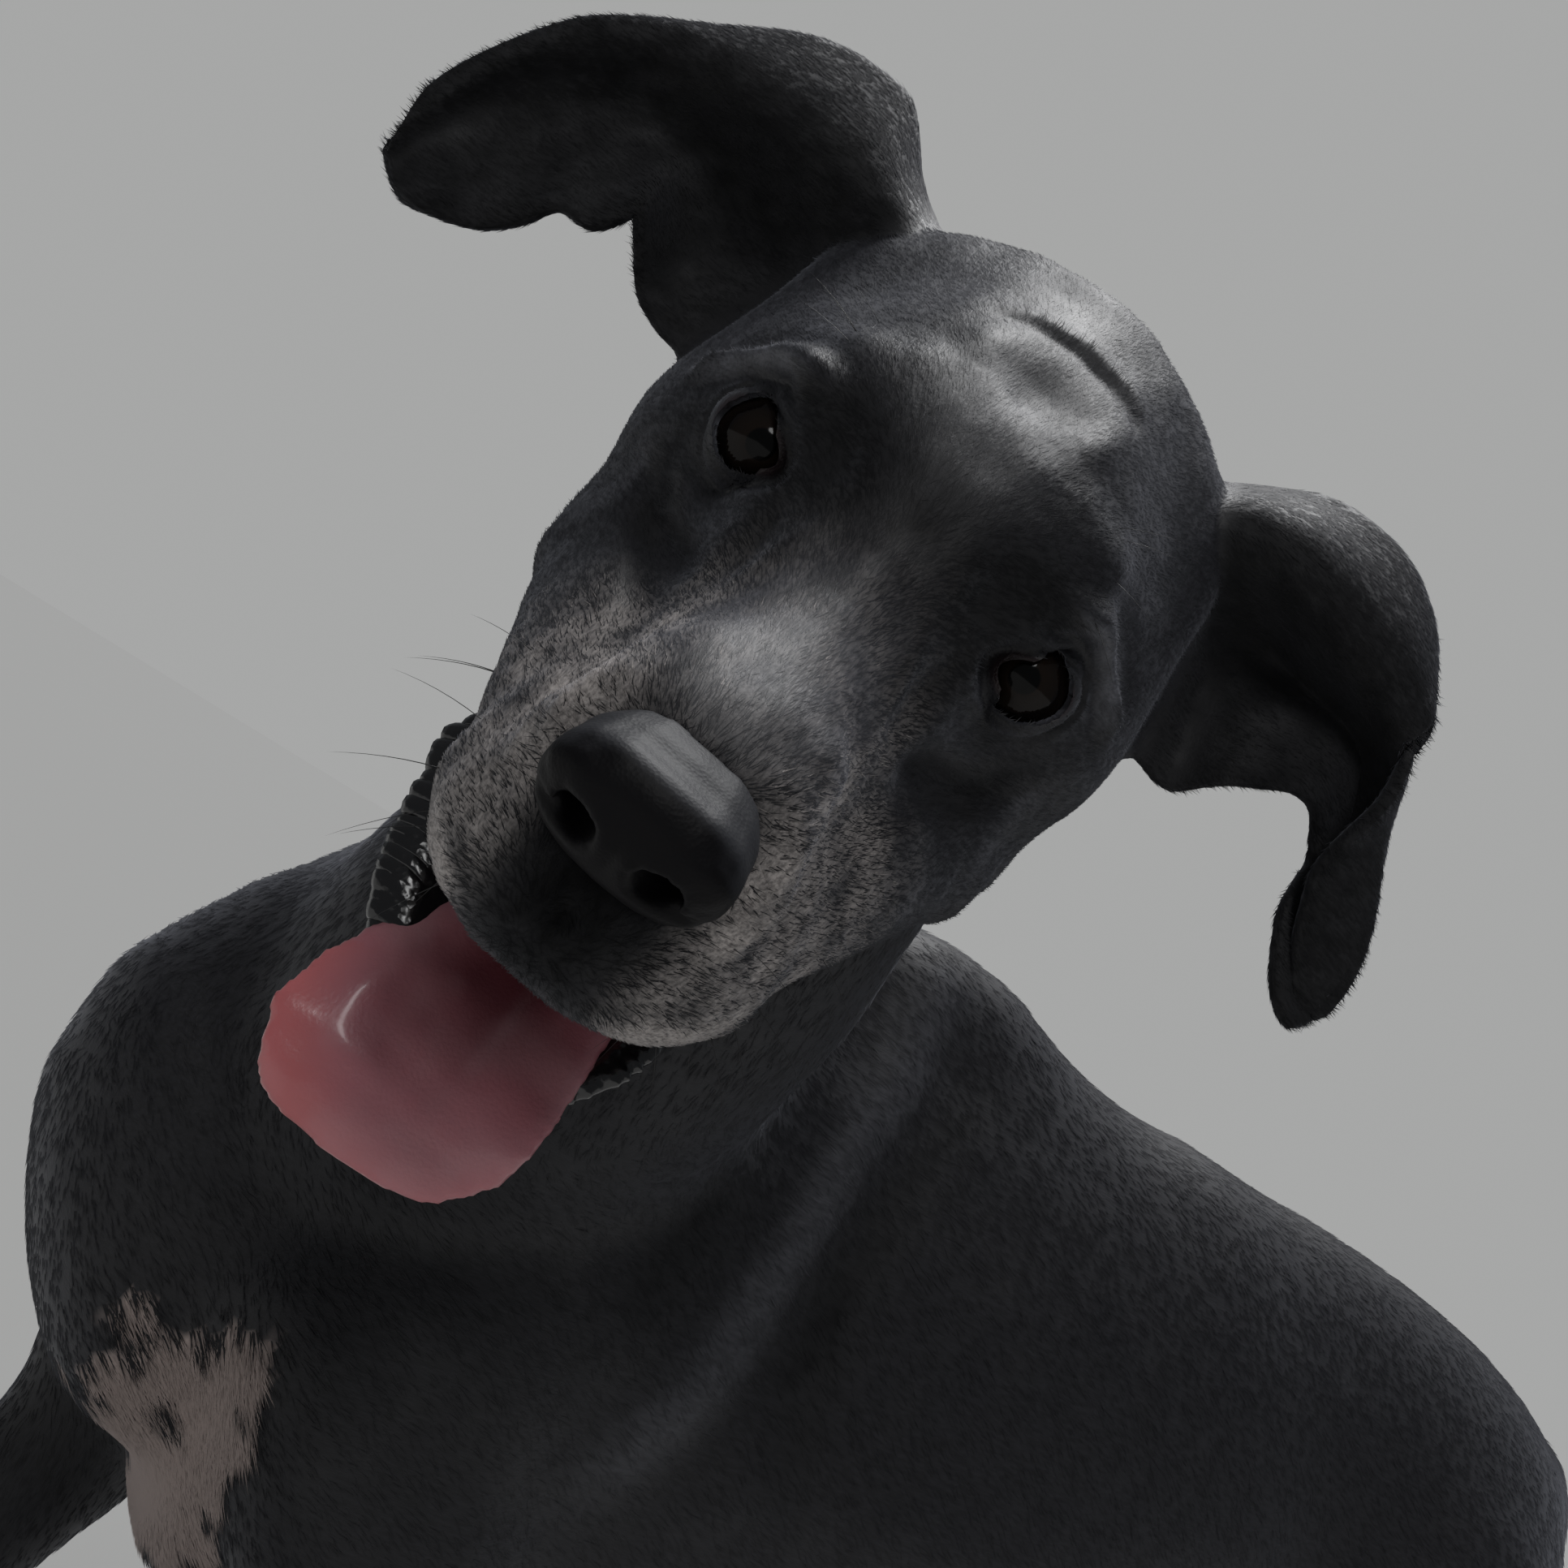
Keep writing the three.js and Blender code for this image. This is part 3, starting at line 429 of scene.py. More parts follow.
EAR_LINES = {
    "right": {
        "front": [
            (-72, 43, 79), (-76, 64, 92), (-80, 86, 109), (-78, 112, 105), (-68, 137, 83),
            (-64, 150, 72), (-62, 162, 60), (-60, 173, 39), (-59, 179, 20), (-58, 177, 6), (-58, 176, 0),
        ],
        "crest": [
            (-52, 47, 68), (-50, 64, 71), (-50, 82, 75), (-54, 107, 76), (-60, 134, 72), (-60, 147, 64),
            (-59, 158, 53), (-58, 168, 35), (-58, 174, 16), (-58, 175, 4), (-58, 175, -2),
        ],
        "hollow": [
            (-66, 63, 38), (-76, 87, 46), (-78, 103, 54), (-76, 119, 57), (-72, 134, 51), (-70, 144, 44),
            (-68, 152, 35), (-65, 163, 22), (-62, 168, 9), (-61, 171, 0), (-59, 173, -3),
        ],
        "rear": [
            (-62, 77, 9), (-66, 97, 12), (-60, 107, 23), (-56, 114, 30), (-54, 120, 19), (-56, 131, 17),
            (-56, 136, 7), (-56, 143, -1), (-56, 154, -6), (-57, 162, -8), (-58, 169, -7),
        ],
    },
    "left": {
        "front": [
            (-72, 51, 79), (-78, 63, 89), (-82, 80, 100), (-80, 100, 103), (-76, 118, 94),
            (-70, 130, 78), (-60, 138, 60), (-51, 140, 45), (-49, 138, 31), (-51, 137, 19),
            (-53, 141, 10), (-55, 146, 1), (-57, 153, -8), (-59, 160, -14),
        ],
        "crest": [
            (-52, 54, 63), (-50, 61, 71), (-50, 79, 76), (-52, 100, 73), (-56, 116, 72), (-62, 131, 66),
            (-63, 139, 58), (-62, 144, 48), (-61, 148, 40), (-60, 153, 31), (-60, 159, 22),
            (-60, 164, 12), (-60, 167, 1), (-60, 167, -9),
        ],
        "hollow": [
            (-66, 70, 39), (-76, 78, 46), (-78, 90, 57), (-78, 104, 58), (-76, 120, 57), (-77, 132, 52),
            (-76, 138, 43), (-75, 142, 36), (-74, 146, 29), (-72, 149, 22), (-70, 153, 14),
            (-67, 157, 4), (-65, 161, -6), (-63, 165, -13),
        ],
        "rear": [
            (-62, 82, 8), (-64, 96, 7), (-60, 105, 18), (-58, 115, 26), (-60, 121, 30), (-64, 127, 30),
            (-68, 132, 26), (-67, 136, 20), (-64, 136, 14), (-61, 137, 5), (-59, 142, -4),
            (-58, 148, -12), (-58, 155, -17), (-59, 161, -18),
        ],
    },
}
EAR_CORE = np.array((-72, 34, 24))


def ear_points(name, along, across):
    """Places on an ear, along it from root to tip and across it from its front line to its rear."""
    rows = []
    for line in EAR_LINES[name].values():
        line = np.array(line, float)
        root = line[0] + (EAR_CORE - line[0]) * 0.45
        rows.append(curve_at(np.vstack([root, line]), along))
    rows = np.array(rows)
    last = len(rows) - 1
    place = across * last
    index = np.minimum(place.astype(int), last - 1)
    each = np.arange(len(along))
    near = [rows[np.clip(index + step, 0, last), each] for step in (-1, 0, 1, 2)]
    points = between(*near, (place - index)[:, None]) * (1, SIDES[name], 1)
    return points @ UPRIGHT.T


def ear_mesh(name, thickness):
    work, along, across = flat_grid(76, 30)
    return walled_mesh(work, from_head(ear_points(name, along, across)), thickness, "ear")


def softened_roots(mesh):
    """Rounds the joint of each ear with the head, and the ears' cut edges."""
    pairs = edge_pairs(mesh)
    head = in_head(points_of(mesh)) @ UPRIGHT
    head[:, 1] = np.abs(head[:, 1])
    joint = distance_to_line(head, [(-72, 46, 70), (-68, 62, 42), (-64, 74, 12)])[0]
    near_root = np.exp(-((joint / 20) ** 2))
    on_leaf = smooth_step(80, 96, head[:, 1]) * (head[:, 0] < -30)
    points = relaxed(points_of(mesh), pairs, 14, near_root)
    set_points(mesh, relaxed(points, pairs, 3, np.maximum(on_leaf, near_root)))


# Folds and ridges of the face: lines in the head's own millimetres, their reach, and how far
# they stand out or lie in

FACE_STROKES = both_sides([
    ([(-17, 65, -6), (-13, 64, 0), (-9, 61, 9), (-3, 56, 18), (6, 48, 27), (15, 38, 31)], 4.0, 5.4),
    ([(-8, 62, 2), (-2, 56, 12), (8, 47, 20), (17, 38, 21)], 3.2, -2.8),
    ([(-22, 70, 4), (-20, 62, 16), (-6, 50, 30), (8, 40, 37)], 5.5, -2.4),
    ([(18, 34, 26), (27, 25, 27), (34, 22, 21)], 9.0, -5.5),
    ([(32, 31, 14), (42, 29, 6), (50, 27, -2)], 7.0, -4.0),
    ([(44, 17, 19), (52, 20, 11), (60, 22, 4)], 4.0, 2.2),
    ([(60, 0, 17), (50, 0, 18), (42, 0, 22)], 7.0, 1.6),
    ([(10, 53, -14), (19, 46, -17), (29, 38, -11)], 4.0, 1.8),
    ([(2, 58, -24), (16, 48, -28), (30, 40, -22), (44, 34, -14)], 5.0, -3.4),
    ([(-4, 61, -36), (14, 54, -42), (34, 43, -38), (54, 37, -28)], 7.0, 2.6),
    ([(-6, 62, -50), (10, 58, -56), (26, 48, -56)], 4.5, -2.2),
    ([(2, 60, -32), (30, 48, -28), (60, 42, -24), (88, 38, -22)], 9.0, 4.5),
    ([(-18, 74, -58), (-14, 74, -66), (-8, 72, -72)], 6.0, 2.4),
    ([(-4, 74, -50), (-2, 72, -62), (-2, 66, -74)], 3.2, -2.8),
    ([(8, 66, -46), (9, 66, -58), (8, 62, -72)], 3.6, 1.6),
    ([(20, 62, -44), (20, 60, -58), (18, 56, -70)], 3.2, -1.8),
    ([(96, 36, -30), (104, 38, -44), (104, 38, -58)], 7.0, 2.0),
    ([(34, 40, -22), (60, 37, -18), (84, 33, -14), (100, 31, -8)], 4.5, -1.6),
    ([(84, 24, 0), (98, 24, -2), (108, 24, -8), (114, 26, -16)], 4.0, 2.2),
    ([(106, 30, -12), (114, 31, -18), (120, 29, -26)], 3.2, 2.0),
    ([(92, 30, 0), (100, 32, -10), (106, 34, -22)], 3.0, -2.0),
    ([(-56, 66, 6), (-84, 66, 14), (-104, 58, 20)], 9.0, 2.0),
    ([(-40, 76, -40), (-70, 78, -50), (-96, 72, -52)], 14.0, 2.5),
]) + [
    ([(-34, -22, 53), (-41, -12, 54), (-45, 0, 54), (-45, 11, 53), (-41, 22, 51)], 2.6, -1.5),
    ([(-42, -20, 54), (-51, 0, 55), (-49, 20, 53)], 4.0, 1.4),
    ([(-20, -6, 50), (-25, 2, 50), (-24, 8, 49)], 8.0, -1.7),
    ([(-6, 0, 46), (-16, 0, 50)], 6.0, -1.4),
    ([(-8, -16, 48), (-24, -18, 53)], 6.0, 1.8),
    ([(-8, 16, 48), (-26, 20, 52)], 6.0, 1.8),
    ([(-56, 0, 58), (-90, 0, 60), (-120, 0, 58)], 8.0, 1.5),
    ([(139, 0, -30), (136, 0, -44), (126, 0, -58)], 2.6, -3.2),
]

# Rounded bodies fused under the skin behind and beside the nose: lines and half breadths

FACE_FORMS = [
    ([(106, -24, -14), (110, -18, -3), (113, -9, 1), (114, 0, 2), (113, 9, 1), (110, 18, -3),
      (106, 24, -14)], 7.5),
    ([(84, -20, 0), (96, -15, 4), (104, 0, 5), (96, 15, 4), (84, 20, 0)], 7.0),
    ([(103, 22, 0), (112, 25, -6), (118, 26, -14), (119, 26, -24)], 5.5),
    ([(103, -22, 0), (112, -25, -6), (118, -26, -14), (119, -26, -24)], 5.5),
]


def with_forms(mesh):
    """Adds the rounded bodies of the face to the flesh, to be fused with it."""
    work = bmesh.new()
    for line, breadth in FACE_FORMS:
        sausage(work, line, [breadth] * 3, [breadth] * 3, rings=24)
    put_on_head(work)
    bmesh.ops.recalc_face_normals(work, faces=work.faces)
    work.from_mesh(mesh)
    work.to_mesh(mesh)
    work.free()
    return mesh


# Muscles, bones and ribs, in the body's own millimetres: lines, their reach, and how far they
# stand out or lie in

BODY_STROKES = both_sides([
    ([(-24, 40, 776), (20, 78, 690), (72, 112, 590)], 15, 4.0),
    ([(-70, 118, 640), (-48, 122, 560), (-28, 118, 480)], 9, -5.0),
    ([(40, 116, 620), (30, 124, 560), (10, 124, 500)], 20, 4.0),
    ([(100, 122, 560), (84, 126, 510)], 18, 4.0),
    ([(-26, 116, 455), (-8, 118, 440)], 12, 4.0),
    ([(-446, 70, 792), (-458, 86, 770)], 16, 5.0),
    ([(-612, 60, 720), (-622, 62, 690)], 16, 4.0),
    ([(-472, 112, 640), (-492, 124, 560), (-512, 126, 490)], 24, 4.0),
    ([(-562, 112, 620), (-566, 118, 540), (-572, 112, 470)], 12, -3.5),
    ([(-402, 96, 560), (-442, 112, 520), (-472, 118, 480)], 14, 3.0),
    ([(-402, 100, 700), (-412, 104, 620), (-424, 106, 560)], 22, -5.0),
    ([(-62, 66, 740), (-34, 96, 660), (-2, 120, 570)], 14, -2.0),
]) + [
    ([(-64, 18, 806), (-100, 8, 794), (-140, 6, 789), (-190, 0, 784)], 34, 13.0),
    ([(-80, 30, 778), (-74, 52, 746), (-60, 75, 701), (-50, 94, 656), (-42, 107, 613),
      (-24, 115, 566)], 14, 6.5),
    ([(-104, 50, 750), (-90, 78, 703), (-80, 92, 665), (-80, 104, 632), (-94, 116, 601),
      (-112, 120, 573)], 13, -3.0),
]
RIB_HEIGHT = 0.7
RIB_SPACING = 34


def rib_push(body):
    """Low ribs under the skin of the chest's flanks."""
    x, y, z = body.T
    lean = x + (z - 600) * 0.42
    wave = np.cos((lean + 90) / RIB_SPACING * 2 * np.pi)
    inside = smooth_step(-360, -310, lean) * (1 - smooth_step(-110, -70, lean))
    inside *= smooth_step(452, 500, z) * (1 - smooth_step(690, 740, z)) * (np.abs(y) > 40)
    return RIB_HEIGHT * wave * inside


def toe_grooves():
    """Grooves between the toes, above and ahead of each paw."""
    strokes = []
    for end in ("fore_left", "fore_right", "hind_left", "hind_right"):
        tips = []
        for toe in range(1, 5):
            low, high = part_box(f"claw_{end}_{toe}")
            tips.append((np.array(low) + np.array(high)) / 2)
        for first, second in zip(tips, tips[1:]):
            x, y, _ = in_body((first + second)[None] / 2)[0]
            line = [(x - back, y, height) for back, height in ((44, 46), (26, 42), (12, 33), (4, 18), (4, 6))]
            strokes.append((line, 3.6, -4.5))
    return strokes


# Eyelids: the skin hugs the eyeball, and an almond opening is cut through it

LID_THICKNESS = 2.1
LID_HALF_WIDTH = 9.2
LID_RISE, LID_DROP = 4.9, 6.0
# The ways in which the eyeballs look, along the head's own axes
EYE_WAYS = {"left": (0.882, 0.02, 0.467), "right": (0.879, 0.03, 0.465)}


def eye_axes(name):
    """The way out of the lids' opening, the line to its outer corner, and the way up."""
    side = SIDES[name]
    gaze = unit(np.array((0.84, side * 0.28, 0.46)))
    outer = np.array((-0.69, side * 0.66, -0.2))
    outer = unit(outer - gaze * (outer @ gaze))
    up = np.cross(gaze, outer) * side
    return gaze, outer, unit(up)


def lid_edge(angle):
    """Edge of the opening: outward and upward from its middle."""
    rise = np.sin(angle)
    tall = np.where(rise > 0, LID_RISE, LID_DROP) * np.abs(rise) ** 1.15 * np.sign(rise)
    return LID_HALF_WIDTH * np.cos(angle), tall


def lid_place(head, name):
    """How far points lie out of the lids' opening, across it and up, and their share of its size."""
    away = head - eye_centre(name)
    forward, across, above = (away @ axis for axis in eye_axes(name))
    wide, tall = lid_edge(np.arctan2(above / 6.6, across / 9.6))
    share = np.hypot(across, above) / np.hypot(wide, tall).clip(3.5)
    return forward, across, above, share


def lids_shaped(head):
    """Draws the skin over each eyeball, with a crease above and below it."""
    for name in SIDES:
        forward, across, above, share = lid_place(head, name)
        flat = np.hypot(across, above)
        lid = EYE_RADIUS + LID_THICKNESS + 0.7 * np.exp(-((share - 1.3) / 0.35) ** 2)
        ball = np.sqrt(np.maximum(lid ** 2 - flat ** 2, 4))
        near = (flat < 25) * (forward > -6)
        rise, fall = np.maximum(ball - forward, 0), np.minimum(ball - forward, 0)
        moved = rise * (1 - smooth_step(13.6, 20, flat)) + fall * (1 - smooth_step(1.25, 2.0, share))
        crease = 1.5 * np.exp(-((share - 1.75) / 0.14) ** 2) * np.where(above > 0, 1, 0.5)
        target = forward + (moved - crease) * near
        head = head + (target - forward)[:, None] * eye_axes(name)[0]
    return head


def lid_cutter(name):
    """The eyeball's hollow, with the almond opening in front of it."""
    gaze, outer, up = eye_axes(name)
    ball = bmesh.new()
    bmesh.ops.create_uvsphere(ball, u_segments=40, v_segments=28, radius=EYE_RADIUS + 0.25)
    bmesh.ops.translate(ball, verts=ball.verts, vec=Vector(eye_centre(name)))
    put_on_head(ball)

    almond = bmesh.new()
    ring = bmesh.ops.create_circle(almond, cap_ends=True, segments=56, radius=1)["verts"]
    wide, tall = lid_edge(np.linspace(0, 2 * np.pi, 57)[:-1])
    middle = eye_centre(name) + gaze * 4
    for index, vert in enumerate(ring):
        vert.co = Vector(middle + outer * wide[index] + up * tall[index])
    far = bmesh.ops.extrude_face_region(almond, geom=list(almond.faces))["geom"]
    for vert in [item for item in far if isinstance(item, bmesh.types.BMVert)]:
        vert.co = Vector(middle) + (vert.co - Vector(middle)) * 1.16 + Vector(gaze * 18)
    bmesh.ops.recalc_face_normals(almond, faces=almond.faces)
    put_on_head(almond)
    return fused_with(mesh_from(ball, "hollow"), mesh_from(almond, "opening"))


def rim_mask(head):
    """The bare dark margins of the lids."""
    rims = []
    for name in SIDES:
        forward, _, _, share = lid_place(head, name)
        rims.append((1 - smooth_step(1.12, 1.35, share)) * (forward > 0))
    return np.maximum(*rims)


# Painted light and shade on the hair: lines of painted highlight and painted shade, with their reach and
# strength

FACE_PAINTED_LIGHT = both_sides([
    ([(17, 37, 25), (23, 27, 27), (31, 19, 27)], 9.0, -1.0),
    ([(31, 30, 14), (42, 26, 6), (51, 22, 5)], 6.5, -0.8),
    ([(36, 18, 20), (40, 20, 14)], 6.0, -0.45),
    ([(0, 60, -6), (4, 58, 6), (12, 48, 16)], 6.0, -0.4),
    ([(18, 50, -30), (32, 42, -22), (42, 36, -10)], 6.0, -0.4),
    ([(-10, 64, 1), (-6, 59, 12), (7, 49, 25), (15, 38, 31)], 3.4, 0.5),
    ([(2, 58, -12), (10, 53, -24), (22, 50, -30)], 5.0, -0.55),
    ([(-4, 64, -20), (6, 64, -34), (14, 66, -46)], 4.0, 0.25),
    ([(-8, 70, -74), (22, 61, -71), (50, 54, -67), (78, 46, -63)], 4.0, -0.6),
    ([(8, 55, -10), (20, 46, -14), (32, 36, -8)], 4.0, 0.2),
    ([(60, 24, 2), (80, 22, 2), (100, 22, 0)], 7.0, 0.2),
    ([(-40, 30, 46), (-60, 40, 44), (-90, 40, 42)], 20.0, 0.12),
    ([(118, 12, -34), (128, 12, -40), (118, 12, -60)], 8.0, -0.3),
]) + [
    ([(54, 0, 17), (72, 0, 15), (98, 0, 13), (112, 0, 10)], 14.0, 0.2),
    ([(58, 14, 12), (80, 15, 9), (100, 14, 8)], 9.0, 0.16),
    ([(58, -14, 12), (80, -15, 9), (100, -14, 8)], 9.0, 0.2),
    ([(31, 0, 30), (38, 0, 27)], 9.0, -0.35),
    ([(8, 0, 43), (-8, 0, 47), (-24, 0, 50)], 14.0, 0.1),
    ([(-20, 0, 50), (-24, 6, 50)], 7.0, -0.3),
    ([(132, 0, -26), (137, 0, -34), (134, 0, -50), (122, 0, -60)], 11.0, -0.7),
]
# Painted highlight along the ridge of the neck, and painted shade beside it
BODY_PAINTED_LIGHT = [
    ([(-86, 26, 786), (-76, 50, 748), (-61, 75, 702), (-50, 94, 657), (-42, 107, 614),
      (-24, 115, 566)], 12, 0.32),
    ([(-120, 50, 756), (-94, 78, 705), (-82, 94, 662), (-86, 106, 628), (-100, 118, 600)], 14, -0.4),
    ([(-10, 86, 700), (-2, 102, 660), (6, 112, 620)], 14, -0.35),
]
# The chest patch: its middle line from the dog's left, sideways and up, and its half breadths
PATCH_LINE = [(-24, 434), (8, 444), (36, 457), (58, 477), (75, 503), (91, 527), (102, 551)]
PATCH_WIDTHS = [12, 17, 20, 19, 18, 16, 8]
PATCH_FLECK = (122, 68, 503)


def patch_mask(body):
    """White patch on the front of the chest, with ragged edges and a dark fleck."""
    ragged = soft_noise(body, 24, 4) * 6 + soft_noise(body, 8, 5) * 3
    apart, along = distance_to_line(body[:, 1:], PATCH_LINE)
    mask = 1 - smooth_step(-1.5, 1.5, apart - curve_at(PATCH_WIDTHS, along) - ragged)
    fleck = np.linalg.norm((body - PATCH_FLECK) * (0.3, 1, 0.45), axis=1)
    mask *= smooth_step(2.5, 5, fleck)
    return mask * (body[:, 0] > 30)


def grey_hair_and_sheen_mask(head):
    """Pale hair of the muzzle: flanks, lips, beside the nose, and chin, with a weak painted sheen along the
    top of the bridge.
    """
    x, y, z = head.T
    side = np.abs(y)
    flank = smooth_step(30, 88, x) * smooth_step(13, 27, side) * (1 - smooth_step(-6, 12, z))
    lip = smooth_step(70, 104, x) * (1 - smooth_step(-54, -40, z)) * smooth_step(17, 27, side)
    # Painted sheen along the top of the bridge
    bridge = 0.16 * smooth_step(26, 70, x) * smooth_step(-20, 6, z)
    wing = smooth_step(96, 112, x) * np.exp(-(((side - 30) / 9) ** 2)) * np.exp(-(((z + 8) / 16) ** 2))
    chin = (z < -84) * smooth_step(20, 60, x) * 0.5
    patches = 0.8 + 0.35 * soft_noise(head, 16, 12) + 0.2 * soft_noise(head, 5, 13)
    return np.clip((flank * 0.55 + lip * 0.8 + bridge + wing * 0.3 + chin) * patches, 0, 1) * (x > 0)


def painted_light_mask(head, body, on_head, on_ear, normals):
    """Painted highlight above 0.5 and painted shade below it, with painted shade on the forward-facing
    hollows of the ears.
    """
    painted_light = stroke_push(head, FACE_PAINTED_LIGHT) * on_head + stroke_push(body, BODY_PAINTED_LIGHT) * (1 - on_head)
    # Painted shade on the sides of the ears that face forward
    painted_light -= 0.4 * smooth_step(-0.1, 0.4, unit(normals) @ HEAD_AXES[:, 0]) * on_ear
    return (0.5 + painted_light * (1 + 0.3 * soft_noise(head, 9, 21))).clip(0, 1)


# Where each point of the skin lies on the frame, and how its hair runs

HAIR_WAYS = {"torso": (-0.9, 0, -0.42), "neck": (-0.35, -0.4, -0.85), "tail": (-0.3, 0, -0.95)}
LEG_HAIR_WAY = (-0.12, 0, -1)


def node_of(points, names):
    """The name of the node that lies nearest to each point."""
    corners, faces, owner = [], [], []
    for name in names:
        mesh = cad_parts[name].data
        first = len(corners)
        corners.extend(vert.co.copy() for vert in mesh.vertices)
        for face in mesh.polygons:
            faces.append([first + corner for corner in face.vertices])
            owner.append(name)
    tree = BVHTree.FromPolygons(corners, faces)
    found = [tree.find_nearest(Vector(point))[2] for point in points]
    return np.array(owner)[found]


def lie_of(points, region):
    """The way the hair runs from root to tip, before it is laid flat on the skin."""
    lie = np.zeros((len(points), 3))
    for name in FLESH + EARS:
        here = region == name
        if name == "head":
            head = in_head(points[here])
            side = np.sign(head[:, 1]) * smooth_step(0, 30, np.abs(head[:, 1]))
            back = np.stack([-np.ones(len(head)), 0.35 * side, -0.45 * np.abs(side)], axis=1)
            lie[here] = back @ HEAD_AXES.T
        elif name == "lower_jaw":
            lie[here] = HEAD_AXES @ (-0.9, 0, 0.35)
        elif name in EARS:
            lie[here] = HEAD_AXES @ (-0.1, SIDES[name.removeprefix("ear_")], -0.1)
        else:
            lie[here] = HAIR_WAYS.get(name, LEG_HAIR_WAY)
    return unit(lie)


def skin_shape(sizes):
    """The flesh fused, with its folds and muscles, its ears, and the lids' openings."""
    lens = Lens(centre=head_spot(10, 0, -15), radius=0.17, power=sizes.power, far=0.95)
    grid = sizes.grid * 1
    mesh = voxel_skin(with_forms(merged_nodes(FLESH, swell=0.0002)), grid, lens)
    facets_softened(mesh, rounds=12, keep_rounds=24)
    points = points_of(mesh)
    head = in_head(points)
    finer_where(mesh, in_box(head, *FACE_BOX) | in_box(head, *CROWN_BOX) | (points[:, 2] < PAW_HEIGHT))
    finer_where(mesh, eye_distance(in_head(points_of(mesh))) < 24)
    pairs = edge_pairs(mesh)
    set_points(mesh, relaxed(points_of(mesh), pairs, 2))

    points = points_of(mesh)
    head, body = in_head(points), in_body(points)
    on_head = relaxed(np.isin(node_of(points, FLESH), ["head", "lower_jaw"]), pairs, 4)
    push = stroke_push(head, FACE_STROKES) * on_head + soft_noise(head, 17, 3) * 0.25 * on_head
    push += (stroke_push(body, BODY_STROKES + toe_grooves()) + rib_push(body)) * (1 - on_head)
    push -= sizes.depth / MM * (0.3 + 0.7 * (1 - on_head))
    push_points(mesh, push)
    set_points(mesh, from_head(lids_shaped(in_head(points_of(mesh)))))
    for name in SIDES:
        mesh = fused_with(mesh, ear_mesh(name, sizes.ear))
    softened_roots(mesh)
    for name in SIDES:
        mesh = fused_with(mesh, lid_cutter(name), "DIFFERENCE")
    return mesh


def skin_marks(mesh):
    """Stores on the skin's points where they lie, their markings, their painted light and shade, and the lie
    of their hair.
    """
    points, pairs = points_of(mesh), edge_pairs(mesh)
    head, body = in_head(points), in_body(points)
    region = node_of(points, FLESH + EARS)
    on_ear = relaxed(np.isin(region, EARS), pairs, 2)
    on_head = relaxed(np.isin(region, ["head", "lower_jaw"]), pairs, 4)
    in_mouth = relaxed(in_box(head, *MOUTH_BOX), pairs, 1)
    store(mesh, "ear", on_ear)
    store(mesh, "face", np.maximum(on_head, on_ear))
    store(mesh, "trunk", relaxed(np.isin(region, ["neck", "torso"]), pairs, 12))
    store(mesh, "patch", patch_mask(body) * (1 - on_head))
    # Pale muzzle hair, with a weak painted sheen on the bridge
    store(mesh, "grey", grey_hair_and_sheen_mask(head) * on_head)
    store(mesh, "wet", np.maximum(in_mouth * on_head, rim_mask(head)))
    # Painted highlight and painted shade of the hair
    store(mesh, "painted_light", painted_light_mask(head, body, on_head, on_ear, normals_of(mesh)))
    layer = mesh.attributes.new("lie", "FLOAT_VECTOR", "POINT")
    lie = relaxed(lie_of(points, region), pairs, 20)
    layer.data.foreach_set("vector", lie.astype(np.float32).ravel())


# Hair: thin closed strands rooted on the skin, which pass on these marks of their roots

COAT_MASKS = ("face", "trunk", "grey", "patch", "wet", "painted_light")


class Surface:
    """The skin's triangles, ready for roots to be drawn on them."""

    def __init__(self, mesh):
        mesh.calc_loop_triangles()
        count = len(mesh.loop_triangles)
        self.mesh = mesh
        self.corners = np.empty(count * 3, np.int32)
        mesh.loop_triangles.foreach_get("vertices", self.corners)
        self.corners = self.corners.reshape(-1, 3)
        loops = np.empty(count * 3, np.int32)
        mesh.loop_triangles.foreach_get("loops", loops)
        spots = np.empty(len(mesh.loops) * 2, np.float32)
        mesh.uv_layers["OFBake"].uv.foreach_get("vector", spots)
        self.spots = spots.reshape(-1, 2)[loops.reshape(-1, 3)]
        self.points, self.normals = points_of(mesh), normals_of(mesh)
        a, b, c = (self.points[self.corners[:, index]] for index in range(3))
        self.area = np.linalg.norm(np.cross(b - a, c - a), axis=1) / 2
        flat = np.empty(len(mesh.vertices) * 3, np.float32)
        mesh.attributes["lie"].data.foreach_get("vector", flat)
        self.lie = flat.reshape(-1, 3).astype(float)

    def mask(self, name):
        values = np.empty(len(self.mesh.vertices), np.float32)
        self.mesh.attributes[name].data.foreach_get("value", values)
        return values.astype(float)

    def sampled(self, count, weight, length, seed):
        """Roots spread by area and weight, with all that a strand needs to know of its place."""
        draw = np.random.default_rng(sum(seed.encode()))
        chance = self.area * weight[self.corners].mean(axis=1).clip(0)
        steps = np.cumsum(chance) / chance.sum()
        pick = np.searchsorted(steps, draw.random(count)).clip(0, len(steps) - 1)
        a, b = draw.random(count), draw.random(count)
        over = a + b > 1
        a[over], b[over] = 1 - a[over], 1 - b[over]
        parts = np.stack([1 - a - b, a, b], axis=1)
        corners = self.corners[pick]

        def blend(values):
            return np.einsum("ij,ij...->i...", parts, values[corners])

        normal = unit(blend(self.normals))
        way = blend(self.lie) + draw.normal(size=(count, 3)) * 0.16
        way = unit(way - normal * np.einsum("ij,ij->i", way, normal)[:, None])
        roots = {
            "root": blend(self.points), "normal": normal, "way": way,
            "length": blend(length * np.ones(len(self.points))) * draw.uniform(0.7, 1.25, count),
            "uv": np.einsum("ij,ijk->ik", parts, self.spots[pick]),
            "chance": draw.random(count),
        }
        for name in COAT_MASKS:
            roots[name] = blend(self.mask(name))
        return roots


